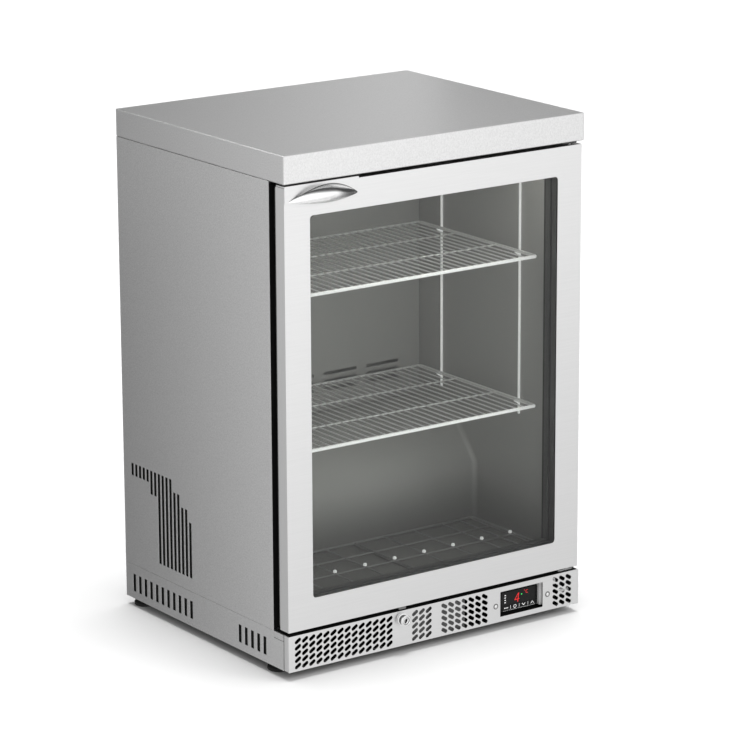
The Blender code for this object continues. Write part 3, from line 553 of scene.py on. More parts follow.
def make_sides():
    steel, edge = "brushed_steel", SIDE - 0.4
    for side, word in SIDES:
        outline = [rectangle(CASE_FRONT, CASE_BACK, BASE_HIGH + GAP, TOP_LOW - GAP), *side_louvres()]
        skin = plate(f"case_side_{word}", outline, "X", *span(side, SIDE, SIDE - SHEET), steel, 0.35, 2)
        # a black flange at the case's front edge: painted shade in the gap beside the door
        gap_shade_flange = slab("gap_shade_flange", *span(side, 275, edge), 43.1, 44.2, 80, 813.5, "seal_black", 0.3)
        top = slab("top", *span(side, 291.5, edge), 45, CASE_BACK - 1, 817, 818.1, steel, 0.3)
        fixings = [screw("rivet", side * 283, CASE_FRONT, z, "Y", -1, 3) for z in (150, 450, 750)]
        shown(joined(f"side_skin_{word}", skin, gap_shade_flange, top, *fixings), steel, f"side_panel_{word}")


def make_screens():
    """Black screens behind the side slots: painted shade that keeps the slots dark."""
    upper = [(281, 95), (475, 95), (475, 261), (331, 261), (331, 240), (307, 240),
             (307, 219.5), (295, 219.5), (295, 199), (281, 199)]
    outlines = (upper, rectangle(62, 150, 24, 63), rectangle(280, 475, 24, 63))
    for side, word in SIDES:
        sheets = [plate("screen", [outline], "X", *span(side, 297.6, 296.6), "seal_black", 0.2)
                  for outline in outlines]
        shown(joined(f"slot_shade_screen_{word}", *sheets), "black_plastic")


def back_sheet(name, low, high, cutouts, screws):
    """A sheet of the back from low to high, and the screws that hold it."""
    loops = [rectangle(-298.2, 298.2, low, high), *cutouts, *(circle(*at, 4, 20) for at in screws)]
    sheet = plate(name, loops, "Y", CASE_BACK - SHEET, CASE_BACK, "galvanised_steel", 0.3)
    return sheet, [screw("back_screw", x, CASE_BACK - 2, z, "Y", 1, 3.4) for x, z in screws]


def make_back():
    zinc = "galvanised_steel"
    upper = [(x, z) for x in (-288, 0, 288) for z in (277, 541, 805) if (x, z) != (0, 541)]
    sheet, fixings = back_sheet("back_sheet", 265.3, 817, [], upper)
    swage = ((0, 493.6), (3, 494.75), (9, 494.75), (12, 493.6))
    rib = framed("rib", (-272.2, 272.2, 291.3, 791), swage, "Y", zinc, 16, 5)
    shown(joined("back_skin", sheet, rib, *fixings), zinc, "back_panel")

    slots = [slot(x, 102.5 + 20 * i, 60, 5) for x in range(-190, 131, 80) for i in range(7)]
    inlet = rounded(196, 224, 100, 120, 2, 3)
    lower = [(x, z) for x in (-288, 0, 288) for z in (28, 253)]
    cover, fixings = back_sheet("cover_sheet", 16.5, 264.7, [*slots, inlet], lower)
    shown(joined("rear_grille", cover, *fixings), zinc, "rear_cover")


def base_louvres():
    """Slots in the base's sides, in a rear and a front row."""
    low, width = 28, 8.6
    return [louvre(first - pitch * i, low, top, width)
            for first, pitch, top, count in ((468, 17.9, 59.4, 11), (142, 18.2, 58.6, 5))
            for i in range(count)]


def make_base():
    steel, front, rail_low, rail_back = "brushed_steel", 15.1, 65.2, 42.8
    back, under = rail_back + 0.8, rail_low - 0.8
    outline = [(front, BASE_LOW), (CASE_BACK, BASE_LOW), (CASE_BACK, BASE_HIGH), (back, BASE_HIGH),
               (back, under), (front, under)]
    rail = rectangle(front, rail_back, rail_low, BASE_HIGH)
    parts = []
    for side in (-1, 1):
        wall = span(side, SIDE, SIDE - SHEET)
        parts.append(plate("base_side", [outline, *base_louvres()], "X", *wall, steel, 0.35, 2))
        parts.append(plate("front_rail", [rail], "X", *wall, steel, 0.35, 2))
        lip = (*span(side, SIDE - 0.5, 284), front, 491, BASE_HIGH - 1.1, BASE_HIGH - 0.1)
        parts.append(slab("base_lip", *lip, steel, 0.3))
    corner = rounded(-SIDE + 0.5, SIDE - 0.5, front, CASE_BACK - 0.2, 2, 2)
    holes = [circle(*at, 4.6, 24) for at in FEET.values()]
    floor = (BASE_LOW + 0.05, BASE_LOW + SHEET)
    parts.append(plate("base_floor", [corner, *holes], "Z", *floor, "seal_black", 0.3))
    shown(joined("base_pan", *parts), steel, "base_tray")


def make_feet():
    sole = [(0, 0), (17, 0), (18.4, 0.5), (19, 1.6), (19, 5.6), (18.2, 6.6), (14.6, 8.6), (13.8, 10),
            (13.8, 14.2), (13, 14.6), (0, 14.6)]
    turns = [p for i in range(10) for p in ((4.1, 14.6 + 1.6 * i), (3.5, 15.4 + 1.6 * i))]
    thread = [(0, 14.5), *turns, (4.1, 30.6), (3.4, 31), (0, 31)]
    for name, centre in FEET.items():
        pad = turned("pad", sole, "Z", centre, "foot_rubber")
        stud = turned("stud", thread, "Z", centre, "plated_steel", 20, 20)
        shown(joined("levelling_" + name, pad, stud), "foot_rubber", name, body=name)


def grille_slots():
    """Leaning slots in blocks: (columns, first column, lean)."""
    across, up, lowest, length, width = 14.05, 10.65, 23.9, 13.4, 6.2
    return [slot(first + across * column, lowest + up * row, length, width, lean * math.radians(32))
            for columns, first, lean in ((14, -281.5, 1), (3, -47.1, 1), (7, 13.3, -1), (3, 248.3, -1))
            for column in range(columns) for row in range(5)]


def make_grille():
    steel, dark = "door_steel", "seal_black"
    x0, x1, lip = -SIDE, 298, 0.15
    holes = [circle(*LOCK, 8.3, 32), rounded(130.5, 221, 23.6, 67.3, 1.2, 3)]
    loops = [rectangle(x0, x1, BASE_LOW, BASE_HIGH), *holes, *grille_slots()]
    face = plate("plinth_face", loops, "Y", 0, SHEET, steel, 0.35, 2)
    rim = framed("plinth_rim", (x0 + lip, x1 - lip, BASE_LOW + lip, BASE_HIGH - lip),
                 ((0.5, 0.4), (0, 1.2), (0, 13.1), (0.3, 13.5), (1.3, 13.5), (1.3, 0.4)), "Y", steel, 1.6, 3)
    beside = (120.8, 231.2)
    fixings = [screw("plinth_screw", x, -0.2, 44, "Y", -1, 3.4, "lock_chrome") for x in beside]
    fixings += [turned("plinth_washer", [(3, 0.1), (4.9, 0.1), (4.9, -0.3), (3, -0.5)], "Y", (x, 44),
                       "spacer_aluminium", 28, closed=True) for x in beside]
    shown(joined("plinth_front", face, rim, *fixings), steel, "grille_panel")

    # black strips over the gap above the plinth, painted shade there, with a notch for the lock's cam, and
    # what shows through the slots
    front, rear = (1, 14.2), (14, 42.5)
    gap_shade_strips = [slab("gap_shade_strip", left, right, *deep, BASE_HIGH - 0.3, BASE_HIGH + 0.8, dark, 0.3)
              for left, right, deep in ((x0 + 3, x1 - 3, front), (x0 + 3, LOCK[0] - 12, rear),
                                        (LOCK[0] + 12, x1 - 3, rear))]
    joints = [slab("joint_backing", *span(side, 298.4, 297.2), 11, 18, BASE_LOW + 1.5, BASE_HIGH - 1.5,
                   dark, 0.3) for side in (-1, 1)]
    duct = slab("duct_wall", -52, 62, 8.6, 9.8, 17, 73.5, "duct_grey", 0.3)
    # white clips behind the right-hand slots, where glints show: painted highlights
    glint_clips = [slab("glint_clip", left, right, 9, 13, low, high, "white_plastic", 0.8)
             for left, right, low, high in ((246, 255, 55, 73), (262, 284, 38, 44))]
    shown(joined("plinth_lining", *gap_shade_strips, *joints, duct, *glint_clips), "black_plastic")


# -------- cold space


def make_liner():
    """The inner box with coved corners, seen from inside."""
    bm = bmesh.new()
    ends = [[bm.verts.new(spot("X", d, z, x)) for d, z in CABIN] for x in (-CABIN_HALF, CABIN_HALF)]
    for ring in ends:
        bm.faces.new(ring)
    stitched(bm, ends, False)
    front = FRONT + CABIN[0][0] * MM
    mouth = [f for f in bm.faces if all(abs(v.co.y - front) < 1e-6 for v in f.verts)]
    bmesh.ops.delete(bm, geom=mouth, context="FACES_ONLY")
    bmesh.ops.recalc_face_normals(bm, faces=bm.faces)
    steps = [place(0, d, z) for d, z in CABIN[2:4]]
    edges = [e for e in bm.edges if len(e.link_faces) == 2
             and not any(all((v.co - step).yz.length < 1e-5 for v in e.verts) for step in steps)]
    rounded_edges(bm, edges, 9, 4)
    liner = solid("cabin_lining", bm, "liner_aluminium", 50)
    liner.data.flip_normals()
    shell = liner.modifiers.new("shell", "SOLIDIFY")
    shell.thickness = 1 * MM
    shell.offset = -1
    shown(liner, "liner_aluminium", "liner")


def make_breaker():
    """The frame round the mouth of the cold space, with a rolled inner edge."""
    section = ((0, 43.2), (0.6, 43), (12.4, 43), (13.8, 43.6), (14, 55), (12.9, 55), (12.6, 44.3),
               (0, 44.2))
    ring = framed("mouth_frame", (-274.5, 274.5, 99.5, 798), section, "Y", "black_plastic", 5, 5)
    shown(ring, "black_plastic", "breaker_strip")


def make_strips():
    for row in ("front", "rear"):
        for word in ("left", "right"):
            dress(f"shelf_strip_{row}_{word}", "white_painted_glow", 0.4)


def wire_shelf(name, half, front, back, level, count, rail, finish, rail_finish):
    """A wire shelf: a stout front rail, and fine wires over cross bars in a round frame."""
    fine, thick = 1.15, 1.75
    middle, rear = level + thick, back - thick
    edge = rounded(thick - half, half - thick, front + rail, rear, 9, 5)
    runs = [([(x, d, middle) for x, d in edge], thick, True)]
    stout = wires("front_rail", [([(s * (half - 7), front + rail, middle) for s in (-1, 1)], rail, False)],
                  rail_finish)
    for d in (front + 0.34 * (back - front), front + 0.67 * (back - front)):
        runs.append(([(s * (half - 1), d, middle - 0.6) for s in (-1, 1)], thick - 0.4, False))
    for i in range(count):
        x = -half + 10 + (2 * half - 20) * i / (count - 1)
        runs.append(([(x, d, middle + 0.2) for d in (front + rail, rear)], fine, False))
    return joined(name, wires("wire_grid", runs, finish), stout)


def make_shelves():
    for name, level in (("shelf_lower", 356.3), ("shelf_upper", 615.3)):
        grid = wire_shelf("wire_" + name, 256, 60, 396, level, 32, 2.9, "shelf_chrome", "white_painted_glow")
        shown(grid, "shelf_chrome", name, body=name)
    grid = wire_shelf("rack", 255, 58, 240, 115.5, 9, 1.9, "rack_wire", "rack_wire")
    bars = [([(x, 60, 113.9), (x, 238, 113.9)], 1.5, False) for x in (-227, 0, 227)]
    knob = [(0, 119), (3, 119.2), (3.4, 121), (2.6, 123.4), (0, 124.4)]
    buttons = [turned("button", knob, "Z", (-245 + 61.25 * i, 122), "white_painted_glow", 16) for i in range(9)]
    shown(joined("wire_floor_rack", grid, wires("rack_rails", bars, "rack_wire"), *buttons), "shelf_chrome",
          "floor_rack", body="floor_rack")


def fan_blades(name, axis, centre, middle, hub, reach, blades, pitch, finish):
    """A hub with a domed cap and curved, twisted blades."""
    cu, cv = centre
    thick, sweep, rows, columns = 1.2, 26, 8, 8
    bm = bmesh.new()
    rim = ([(0, j) for j in range(columns)] + [(i, columns) for i in range(rows)]
           + [(rows, j) for j in range(columns, 0, -1)] + [(i, 0) for i in range(rows, 0, -1)])

    def blade_point(turn, t, s, offset):
        """t runs out along the blade, and s across it from -1 to 1."""
        radius = hub * 0.9 + (reach - hub * 0.9) * t
        angle = math.radians(turn + (34 - 6 * t) * s * (1 - 0.25 * t) + sweep * t)
        lift = pitch * s * (1 - 0.35 * t) + 1.5 * (1 - s * s) + offset
        return spot(axis, cu + radius * math.cos(angle), cv + radius * math.sin(angle), middle + lift)

    for k in range(blades):
        turn = 360 * k / blades
        low, high = [[[bm.verts.new(blade_point(turn, i / rows, 2 * j / columns - 1, offset))
                       for j in range(columns + 1)] for i in range(rows + 1)]
                     for offset in (-thick / 2, thick / 2)]
        for i in range(rows):
            for j in range(columns):
                bm.faces.new((low[i][j], low[i][j + 1], low[i + 1][j + 1], low[i + 1][j]))
                bm.faces.new((high[i][j], high[i + 1][j], high[i + 1][j + 1], high[i][j + 1]))
        for (i, j), (m, n) in zip(rim, rim[1:] + rim[:1]):
            bm.faces.new((low[i][j], high[i][j], high[m][n], low[m][n]))
    cap = middle - pitch - 1.5
    base = middle + pitch + 1.5
    profile = [(0, cap), (hub * 0.55, cap), (hub * 0.85, cap + 1), (hub, cap + 3.5), (hub, base),
               (hub - 1.2, base), (0, base)]
    hub_part = turned(name + "_hub", profile, axis, centre, finish)
    return joined(name, solid(name + "_blades", bm, finish, 40), hub_part)


def make_cold_rear():
    x, z = COLD_FAN
    lining, face = "liner_aluminium", 406
    vents = [slot(cx, cz + 3, 70, 6) for cx in (-180, -90, 0, 90, 180) for cz in (340, 354, 368)]
    loops = [rounded(-261, 261, 305, 784, 3, 3), circle(x, z, 59, 64), *vents]
    panel = plate("rear_lining", loops, "Y", face, face + SHEET, lining, 0.3, 2)
    collar = [(62, 406), (60, 404.8), (58.6, 405.2), (58.4, 409), (59.4, 409), (62, 406.6)]
    rim = turned("guard_rim", collar, "Y", COLD_FAN, lining, 64, closed=True)
    # the fan's guard: rings, and spokes behind them
    guard = [([(u, 405.6, v) for u, v in circle(x, z, 14 + 10 * i, 48)], 0.9, True) for i in range(5)]
    guard += [([(x + r * math.cos(a), 405.9, z + r * math.sin(a)) for r in (6, 60)], 1, False)
              for a in (math.radians(45 + 90 * k) for k in range(4))]
    fixings = [screw("lining_screw", sx, face, sz, "Y", -1, 3.2) for sx in (-240, 240) for sz in (325, 765)]
    shown(joined("evaporator_panel", panel, rim, wires("guard", guard, "shelf_chrome"), *fixings), lining,
          "evaporator_cover")
    shown(fan_blades("cold_fan", "Y", COLD_FAN, 417, 16, 54, 5, 4, "fan_plastic"), "fan_plastic",
          "evaporator_fan", body="evaporator_fan")
    can = [(0, 422.8), (3, 422.8), (3, 431), (20, 431), (23.2, 432.4), (24, 435), (24, 450), (23, 453),
           (20, 454), (0, 454)]
    shown(turned("cold_motor", can, "Y", COLD_FAN, "black_plastic"), "black_plastic", "evaporator_fan_motor")
    fins = finned("coil_fins", -215, 215, 414, 446, 400, 610, 62, "X", "coil_aluminium")
    end, levels = 224, range(420, 591, 34)
    rows = [([(-end, d, v), (end, d, v)], 4, False) for d in (422, 438) for v in levels]
    bends = [([(side * (end + u), d, v) for u, v in arc(0, low + 17, 17, -90, 180, 8)], 4, False)
             for d in (422, 438) for low, side in zip(levels[:-1], (1, -1, 1, -1, 1))]
    shown(joined("evaporator", fins, wires("coil_tubes", rows + bends, "copper_tube")), "coil_aluminium",
          "evaporator_coil")


def finned(name, x0, x1, d0, d1, z0, z1, count, axis, finish):
    """A row of thin upright fins, along X or along depth D."""
    bm = bmesh.new()
    half = 0.25
    first, last = (d0, d1) if axis == "D" else (x0, x1)
    for i in range(count):
        at = first + (last - first) * i / (count - 1)
        if axis == "D":
            corners = [place(x, at + s * half, z) for s in (-1, 1) for x, z in rectangle(x0, x1, z0, z1)]
        else:
            corners = [place(at + s * half, d, z) for s in (-1, 1) for d, z in rectangle(d0, d1, z0, z1)]
        verts = [bm.verts.new(c) for c in corners]
        near, far = verts[:4], verts[4:]
        bm.faces.new(near)
        bm.faces.new(far[::-1])
        stitched(bm, (near, far), False)
    return solid(name, bm, finish)


def make_lamp():
    white = "white_plastic"
    bar = slab("lamp_bar", -245, 245, 60, 74, 781, 784.5, white, 0.6)
    lens = slab("lamp_lens", -238, 238, 62.5, 71.5, 779.6, 781.4, "lamp_white", 0.7)
    caps = [slab("lamp_cap", x - 3.5, x + 3.5, 60.2, 73.8, 779.5, 784.3, white, 0.8) for x in (-241.5, 241.5)]
    shown(joined("lamp", bar, lens, *caps), white, "led_strip")


# -------- machine space


def make_compressor():
    enamel, zinc = "black_enamel", "plated_steel"
    x, d = 150, 392
    pot = [(0, 26), (60, 26), (66, 27.5), (72, 33), (75, 42), (76.4, 60), (77, 94), (79.2, 95.5), (80, 98),
           (80, 102), (79.2, 104), (76.6, 105.2), (75.6, 120), (72, 140), (64, 154), (50, 164), (30, 169.6),
           (12, 171), (0, 171)]
    grommet = [(5, 16.5), (12, 16.5), (12.6, 17.4), (12.6, 20.6), (10, 21.4), (10, 25.4), (12.6, 26.4),
               (12.6, 29.2), (11.4, 30), (5, 30)]
    bolt = [(0, 16.4), (3.4, 16.4), (3.4, 29), (6.4, 29), (6.4, 30), (0, 30)]
    foot = rounded(x - 88, x + 88, d - 74, d + 74, 14, 5)
    parts = [turned("shell", pot, "Z", (x, d), enamel, 56),
             plate("mount_plate", [foot], "Z", 24, 27, zinc, 0.4)]
    for at in [(x + sx * 74, d + sd * 60) for sx in (-1, 1) for sd in (-1, 1)]:
        parts.append(turned("grommet", grommet, "Z", at, "foot_rubber", 28, closed=True))
        parts.append(turned("bolt", bolt, "Z", at, zinc, 6, 20))
    parts.append(slab("terminal_cover", x - 30, x + 14, d - 84, d - 66, 76, 128, "black_plastic", 2.5, 3))
    tube = route(((x + 40, d - 60, 60), (x + 46, d - 72, 66), (x + 46, d - 74, 96)))
    parts.append(wires("process_tube", [(tube, 3, False)], "copper_tube"))
    shown(joined("compressor_unit", *parts), enamel, "compressor")


def make_condenser():
    enamel = "black_enamel"
    x0, x1, d0, d1 = -281, -239, 298, 456
    fins = finned("condenser_fins", x0 + 1, x1 - 1, d0 + 2, d1 - 2, 24, 188, 46, "D", enamel)
    ends = [slab("end_plate", x0, x1, d, d + 1.6, 16.5, 188, enamel, 0.4) for d in (d0, d1 - 1.6)]
    tubes = []
    levels = range(36, 188, 20)
    turns = ((d1 + 4, 1), (d0 - 4, -1))
    for x in (-269, -251):
        tubes += [([(x, d0 - 4, z), (x, d1 + 4, z)], 3.6, False) for z in levels]
        for k, z in enumerate(levels[:-1]):
            end, side = turns[k % 2]
            tubes.append(([(x, end + side * u, v) for u, v in arc(0, z + 10, 10, -90, 180, 8)], 3.6, False))
    shown(joined("condenser_unit", fins, *ends, wires("condenser_tubes", tubes, enamel)), enamel, "condenser")
    d, z = HOT_FAN
    can = [(0, -208), (4, -208), (4, -188), (24, -188), (28.6, -186.4), (30, -183), (30, -148), (28.6, -144),
           (24, -142), (0, -142)]
    motor = turned("hot_motor", can, "X", HOT_FAN, enamel)
    cooling = [turned("cooling_ring", [(29.5, x), (31.2, x), (31.2, x + 1.6), (29.5, x + 1.6)], "X", HOT_FAN,
                      enamel, closed=True) for x in (-178, -172, -166, -160)]
    post = slab("motor_post", -178, -152, d - 14, d + 14, 16.5, z - 20, "plated_steel", 1.5)
    shown(joined("condenser_motor", motor, *cooling, post), enamel, "condenser_fan_motor")
    shown(fan_blades("hot_fan", "X", HOT_FAN, -213, 20, 72, 5, 8, "coil_aluminium"), "coil_aluminium",
          "condenser_fan", body="condenser_fan")


def make_pipes():
    copper = "copper_tube"
    drier = [(0, 60), (3.6, 60), (4.2, 63), (7.6, 67), (9, 70), (9, 128), (7.6, 131), (4.2, 135), (3.6, 138),
             (0, 138)]
    shown(turned("drier", drier, "Z", (-110, 470), copper), copper, "filter_drier")
    hot = ((66, 392, 70), (40, 392, 70), (20, 420, 40), (-60, 470, 34),
           (-180, 482, 40), (-220, 478, 60), (-234, 462, 90))
    cold = ((232, 392, 70), (246, 400, 80), (250, 450, 130), (240, 478, 190),
            (200, 482, 235), (120, 470, 250))
    shown(wires("hot_pipe", [(route(hot), 3, False)], copper), copper, "discharge_pipe")
    shown(wires("cold_pipe", [(route(cold), 4, False)], copper), copper, "suction_pipe")


def make_wiring():
    plastic, pale = "black_plastic", "grey_plastic"
    dress("drip_tray", plastic, 1.2, 3)
    body = slab("wiring_box", -60, 20, 296, 366, 16.5, 104, pale, 2.5, 3)
    lid = slab("wiring_lid", -61, 21, 295, 367, 104, 110, pale, 1.5, 2)
    fixings = [screw("lid_screw", x, d, 108.8, "Z", 1, 2.6) for x in (-52, 12) for d in (304, 358)]
    shown(joined("wiring", body, lid, *fixings), pale, "electrical_box")
    x0, x1, z0, z1, mouth, floor = 196.3, 223.7, 100.3, 119.7, 466.3, 478.7
    section = ((0, mouth), (0, CASE_BACK), (2.6, CASE_BACK), (3, CASE_BACK - 0.4), (3, floor),
               (12, floor), (12, mouth))
    shell = framed("inlet_shell", (x0, x1, z0, z1), section, "Y", plastic, 3, 4)
    bottom = slab("inlet_floor", x0 + 1, x1 - 1, 468, floor + 0.2, z0 + 1, z1 - 1, plastic, 0.4)
    pins = [slab("pin", x - 1, x + 1, 477, 491, z - 2, z + 2, "plated_steel", 0.5)
            for x, z in ((203.5, 108.5), (210, 111.5), (216.5, 108.5))]
    shown(joined("mains_inlet", shell, bottom, *pins), plastic, "power_inlet")


# -------- plinth fittings


def make_lock():
    chrome, zinc, dark = "lock_chrome", "plated_steel", "seal_black"
    x, z = LOCK
    bore, lean = 6.3, math.radians(62)
    # the black waist ring between boss and base is painted shade under the boss
    rings = [turned(name, profile, "Y", LOCK, finish, closed=True) for name, finish, profile in (
        ("boss", chrome, [(bore, -11.2), (7.2, -12), (8.8, -12), (9.8, -11.2), (9.8, -9), (8.9, -8.4),
                          (bore, -8.4)]),
        ("shade_waist", "black_enamel", [(bore, -8.9), (8.7, -8.9), (8.7, -3.2), (bore, -3.2)]),
        ("base", chrome, [(bore, -3.4), (9, -3.4), (10.5, -2.6), (10.5, -0.7), (10, -0.3), (8, -0.3),
                          (8, 15.5), (bore, 15.5)]))]
    hexagon = [(8, 2), (11.6, 2), (12, 2.5), (12, 6), (11.6, 6.5), (8, 6.5)]
    nut = turned("nut", hexagon, "Y", LOCK, zinc, 6, 30, closed=True)
    shown(joined("lock_barrel", *rings, nut), chrome, "lock_body")
    core = [(0, -10.6), (5, -10.6), (5.8, -10.2), (6, -9.6), (6, 18.6), (5.4, 19), (0, 19)]
    plug = turned("plug", core, "Y", LOCK, chrome)
    plug = carved(plug, plate("keyway", [slot(x, z, 8.4, 2.8, lean)], "Y", -13, -5, dark, 0.05, 0))
    # a black plate a little inside the keyway: painted shade in the keyway
    keyway_shade = plate("keyway_shade", [slot(x, z, 8, 2.4, lean)], "Y", -9.6, -9.2, dark, 0.05, 0)
    upper = [(x, z + 6), (x + 14.5, z + 4), (x + 18.5, z + 2)]
    lower = [(u, 2 * z - v) for u, v in reversed(upper)]
    cam = plate("cam", [upper + lower], "Y", 16.3, 18.8, zinc, 0.4)
    shown(joined("lock_turning", plug, keyway_shade, cam), chrome, "lock_plug", body="lock_plug")


def stroke(a, b, width):
    """A straight stroke between two points, with square ends."""
    along = Vector(b) - Vector(a)
    side = Vector((-along.y, along.x)).normalized() * width / 2
    return [tuple(Vector(p) + s) for p, s in ((a, -side), (b, -side), (b, side), (a, side))]


def bent(a, corner, b, width):
    """A stroke with one corner, as two strokes that meet."""
    return [stroke(a, corner, width), stroke(corner, b, width)]


def figure_four(cu, cv):
    """A leaning 4, with an open slant."""
    return [stroke((cu + a, cv + b), (cu + c, cv + d), width) for a, b, c, d, width in (
        (1.6, -8, 3.8, 7.6, 1.5), (3.2, 7.4, -4.6, -3, 1.2), (-5.2, -3.6, 5.2, -3, 1.3))]


def marks(name, loops, front, finish):
    return [plate(name, [loop], "Y", front - 0.12, front + 0.1, finish, 0.03, 0) for loop in loops]


def make_display():
    x0, x1, z0, z1 = 141, 218, 26.5, 60.6
    front, dark, pale = 11.5, "seal_black", "grey_plastic"
    key_low, key_high, key_wide = 28.6, 35.6, 16
    keys = {name: 143.6 + 18.6 * i for i, name in enumerate(("key_set", "key_power", "key_down", "key_up"))}
    holes = [rounded(x - GAP, x + key_wide + GAP, key_low - GAP, key_high + GAP, 1, 3)
             for x in keys.values()]
    loops = [rounded(x0, x1, z0, z1, 3.6), *holes]
    face = plate("panel_face", loops, "Y", front, front + 3.6, "display_plastic", 0.5, 2)
    degree = [circle(184.6, 50.6, 1.1, 12)]
    small = [arc(196, 53.6, 3, 50, 260, 14) + arc(196, 53.6, 2.1, 310, -260, 14),
             circle(190.6, 56.4, 0.8, 10)]
    legends_and_lip_highlight = [rounded(148, 151, h, h + 1.6, 0.5, 2) for h in (41, 45.2, 49.4, 53.6)]
    legends_and_lip_highlight += [rounded(x - 1.6, x - 1, 29, 35.2, 0.1, 1) for x in list(keys.values())[1:]]
    # a thin pale line along the face's lower lip: a painted highlight
    legends_and_lip_highlight.append(rectangle(x0 + 4, x1 - 4, 27.2, 27.5))
    parts = [face, *marks("red_mark", figure_four(174.6, 46.6), front, "lamp_red"),
             *marks("degree", degree, front, "lamp_green"), *marks("small", small, front, "lamp_red"),
             *marks("icon_and_lip_highlight", legends_and_lip_highlight, front, "legend_painted_glow")]
    shown(joined("panel_window", *parts), "display_plastic", "controller_face")
    symbols = {
        "key_set": [rectangle(u, u + 2, -0.9, 0.9) for u in (-4.2, -1.1, 2)],
        "key_power": [arc(0, 0, 3.2, 100, 340, 20) + arc(0, 0, 2.3, 80, -340, 20)],
        "key_down": bent((-3.4, 2.2), (0, -1.9), (3.4, 2.2), 0.95),
        "key_up": bent((-3.4, -2.2), (0, 1.9), (3.4, -2.2), 0.95),
    }
    for name, x in keys.items():
        outline = rounded(x, x + key_wide, key_low, key_high, 0.9, 3)
        pad = plate("pad", [outline], "Y", front - 0.2, front + 3.2, "key_rubber", 0.3, 2)
        cu, cv = x + key_wide / 2, (key_low + key_high) / 2
        drawn = [[(cu + u, cv + v) for u, v in loop] for loop in symbols[name]]
        symbol = marks("symbol", drawn, front - 0.2, "legend_painted_glow")
        shown(joined("pad_" + name, pad, *symbol), "key_rubber", name, body=name)
    dress("controller_body", "black_plastic", 1)
    wall = ((0, 1.5), (0, 16), (1.5, 16), (1.5, 1.5))
    tray = framed("panel_tray", (126.5, 232, 19.6, 71.3), wall, "Y", dark, 1.5, 3)
    back = plate("tray_back", [rounded(127.6, 231, 20.7, 70.2, 1.2, 3),
                               rounded(x0 + 2, x1 - 2, z0 + 2, z1 - 2, 1.5, 3)], "Y", 15.9, 17.4, dark, 0.2)
    clip = slab("tray_clip", 219.2, 225.6, 6.5, 15.8, z0 - 1, 69.5, pale, 0.6)
    edge = slab("tray_edge", 226.4, 229.6, 5.5, 15.8, z0 - 3, 69.5, pale, 0.6)
    shown(joined("panel_holder", tray, back, clip, edge), pale, "controller_bracket")


def make_hinges():
    """Plates with a pin that points at the door; the lower one carries a bush."""
    top_pin = [(0, 800), (2.6, 800), (3.5, 801), (3.5, 816), (0, 816)]
    low_pin = [(0, 78), (3.5, 78), (3.5, 95), (2.6, 96), (0, 96)]
    bush = [(3.6, 79), (6.4, 79), (6.8, 79.4), (6.8, 81.6), (6.4, 82), (3.6, 82)]
    zinc, outline = "plated_steel", rounded(258, 290, 5, 90, 4, 5)
    # the top plate is black: painted shade in the dark gap under the worktop
    for word, low, high, pin, sheet in (("top", 815.4, 817.9, top_pin, "black_enamel"),
                                        ("bottom", 76.4, 79, low_pin, zinc)):
        parts = [plate("hinge_plate", [outline], "Z", low, high, sheet, 0.5, 2),
                 turned("hinge_pin", pin, "Z", PIVOT, zinc, 24)]
        if word == "bottom":
            parts.append(turned("bush", bush, "Z", PIVOT, "white_plastic", 28, closed=True))
        shown(joined(f"hinge_{word}", *parts), zinc, f"hinge_bracket_{word}")


# -------- door


def make_door():
    steel = "door_steel"
    x0, x1, z0, z1, lip = -299.5, 295, 82.5, 813.3, 0.08
    loops = [rectangle(x0, x1, z0, z1), rounded(*SIGHT, 6, 8)]
    skin = plate("door_skin", loops, "Y", 0, SHEET, steel, 0.5, 3)
    rim = framed("door_returns", (x0 + lip, x1 - lip, z0 + lip, z1 - lip),
                 ((0, 0.7), (0, 23.6), (0.4, 24.3), (0.9, 24.3), (1.2, 23.6), (1.2, 0.7)), "Y", steel, 0.8, 2)
    bores = [turned("bore", [(0, low), (5, low), (5, low + 10), (0, low + 10)], "Z", PIVOT, steel, 24)
             for low in (z0 - 5, z1 - 5)]
    shown(joined("door_shell", skin, carved(rim, *bores)), steel, "door_frame", body="door")
    dress("door_inner_frame", "frame_plastic", 0.8)
    screws = [screw("gap_screw", -295, 28.3, z, "X", -1, 1.9, "lock_chrome") for z in (95, 142, 700, 747)]
    shown(joined("gap_screws", *screws), "lock_chrome", body="door")
    lug = slab("lock_lug", -78.5, -64.5, 1.4, 12, 77.8, 83, "duct_grey", 0.5)
    shown(lug, "plated_steel", body="door")
    for pane in ("glass_outer", "glass_inner"):
        dress(pane, "clear_glass")
    dress("glass_spacer", "spacer_aluminium", 0.3)
    dress("door_catch", "plated_steel", 0.4)
    # the gasket: a magnet bar on folded bellows, pushed into the door by its root
    section = ((0.6, 32.6), (0.2, 33.4), (2.2, 34.6), (2.2, 35.6), (0.2, 36.6), (2.2, 37.8), (0.4, 38.6),
               (0, 39.4), (0, 42), (0.7, 42.7), (11.4, 42.7), (12.2, 42), (12.2, 39.4), (11.4, 38.6),
               (10.2, 37.8), (12.8, 36.6), (10.8, 35.6), (10.8, 34.6), (13.8, 33.6), (13.8, 32.6))
    seal = framed("seal", (-285, 276, 92, 804), section, "Y", "gasket_rubber", 6, 6, 60)
    shown(seal, "gasket_rubber", "door_gasket", body="door")


def eased(low, high, value):
    """0 below low, 1 above high, and a smooth rise between."""
    t = min(max((value - low) / (high - low), 0), 1)
    return t * t * (3 - 2 * t)


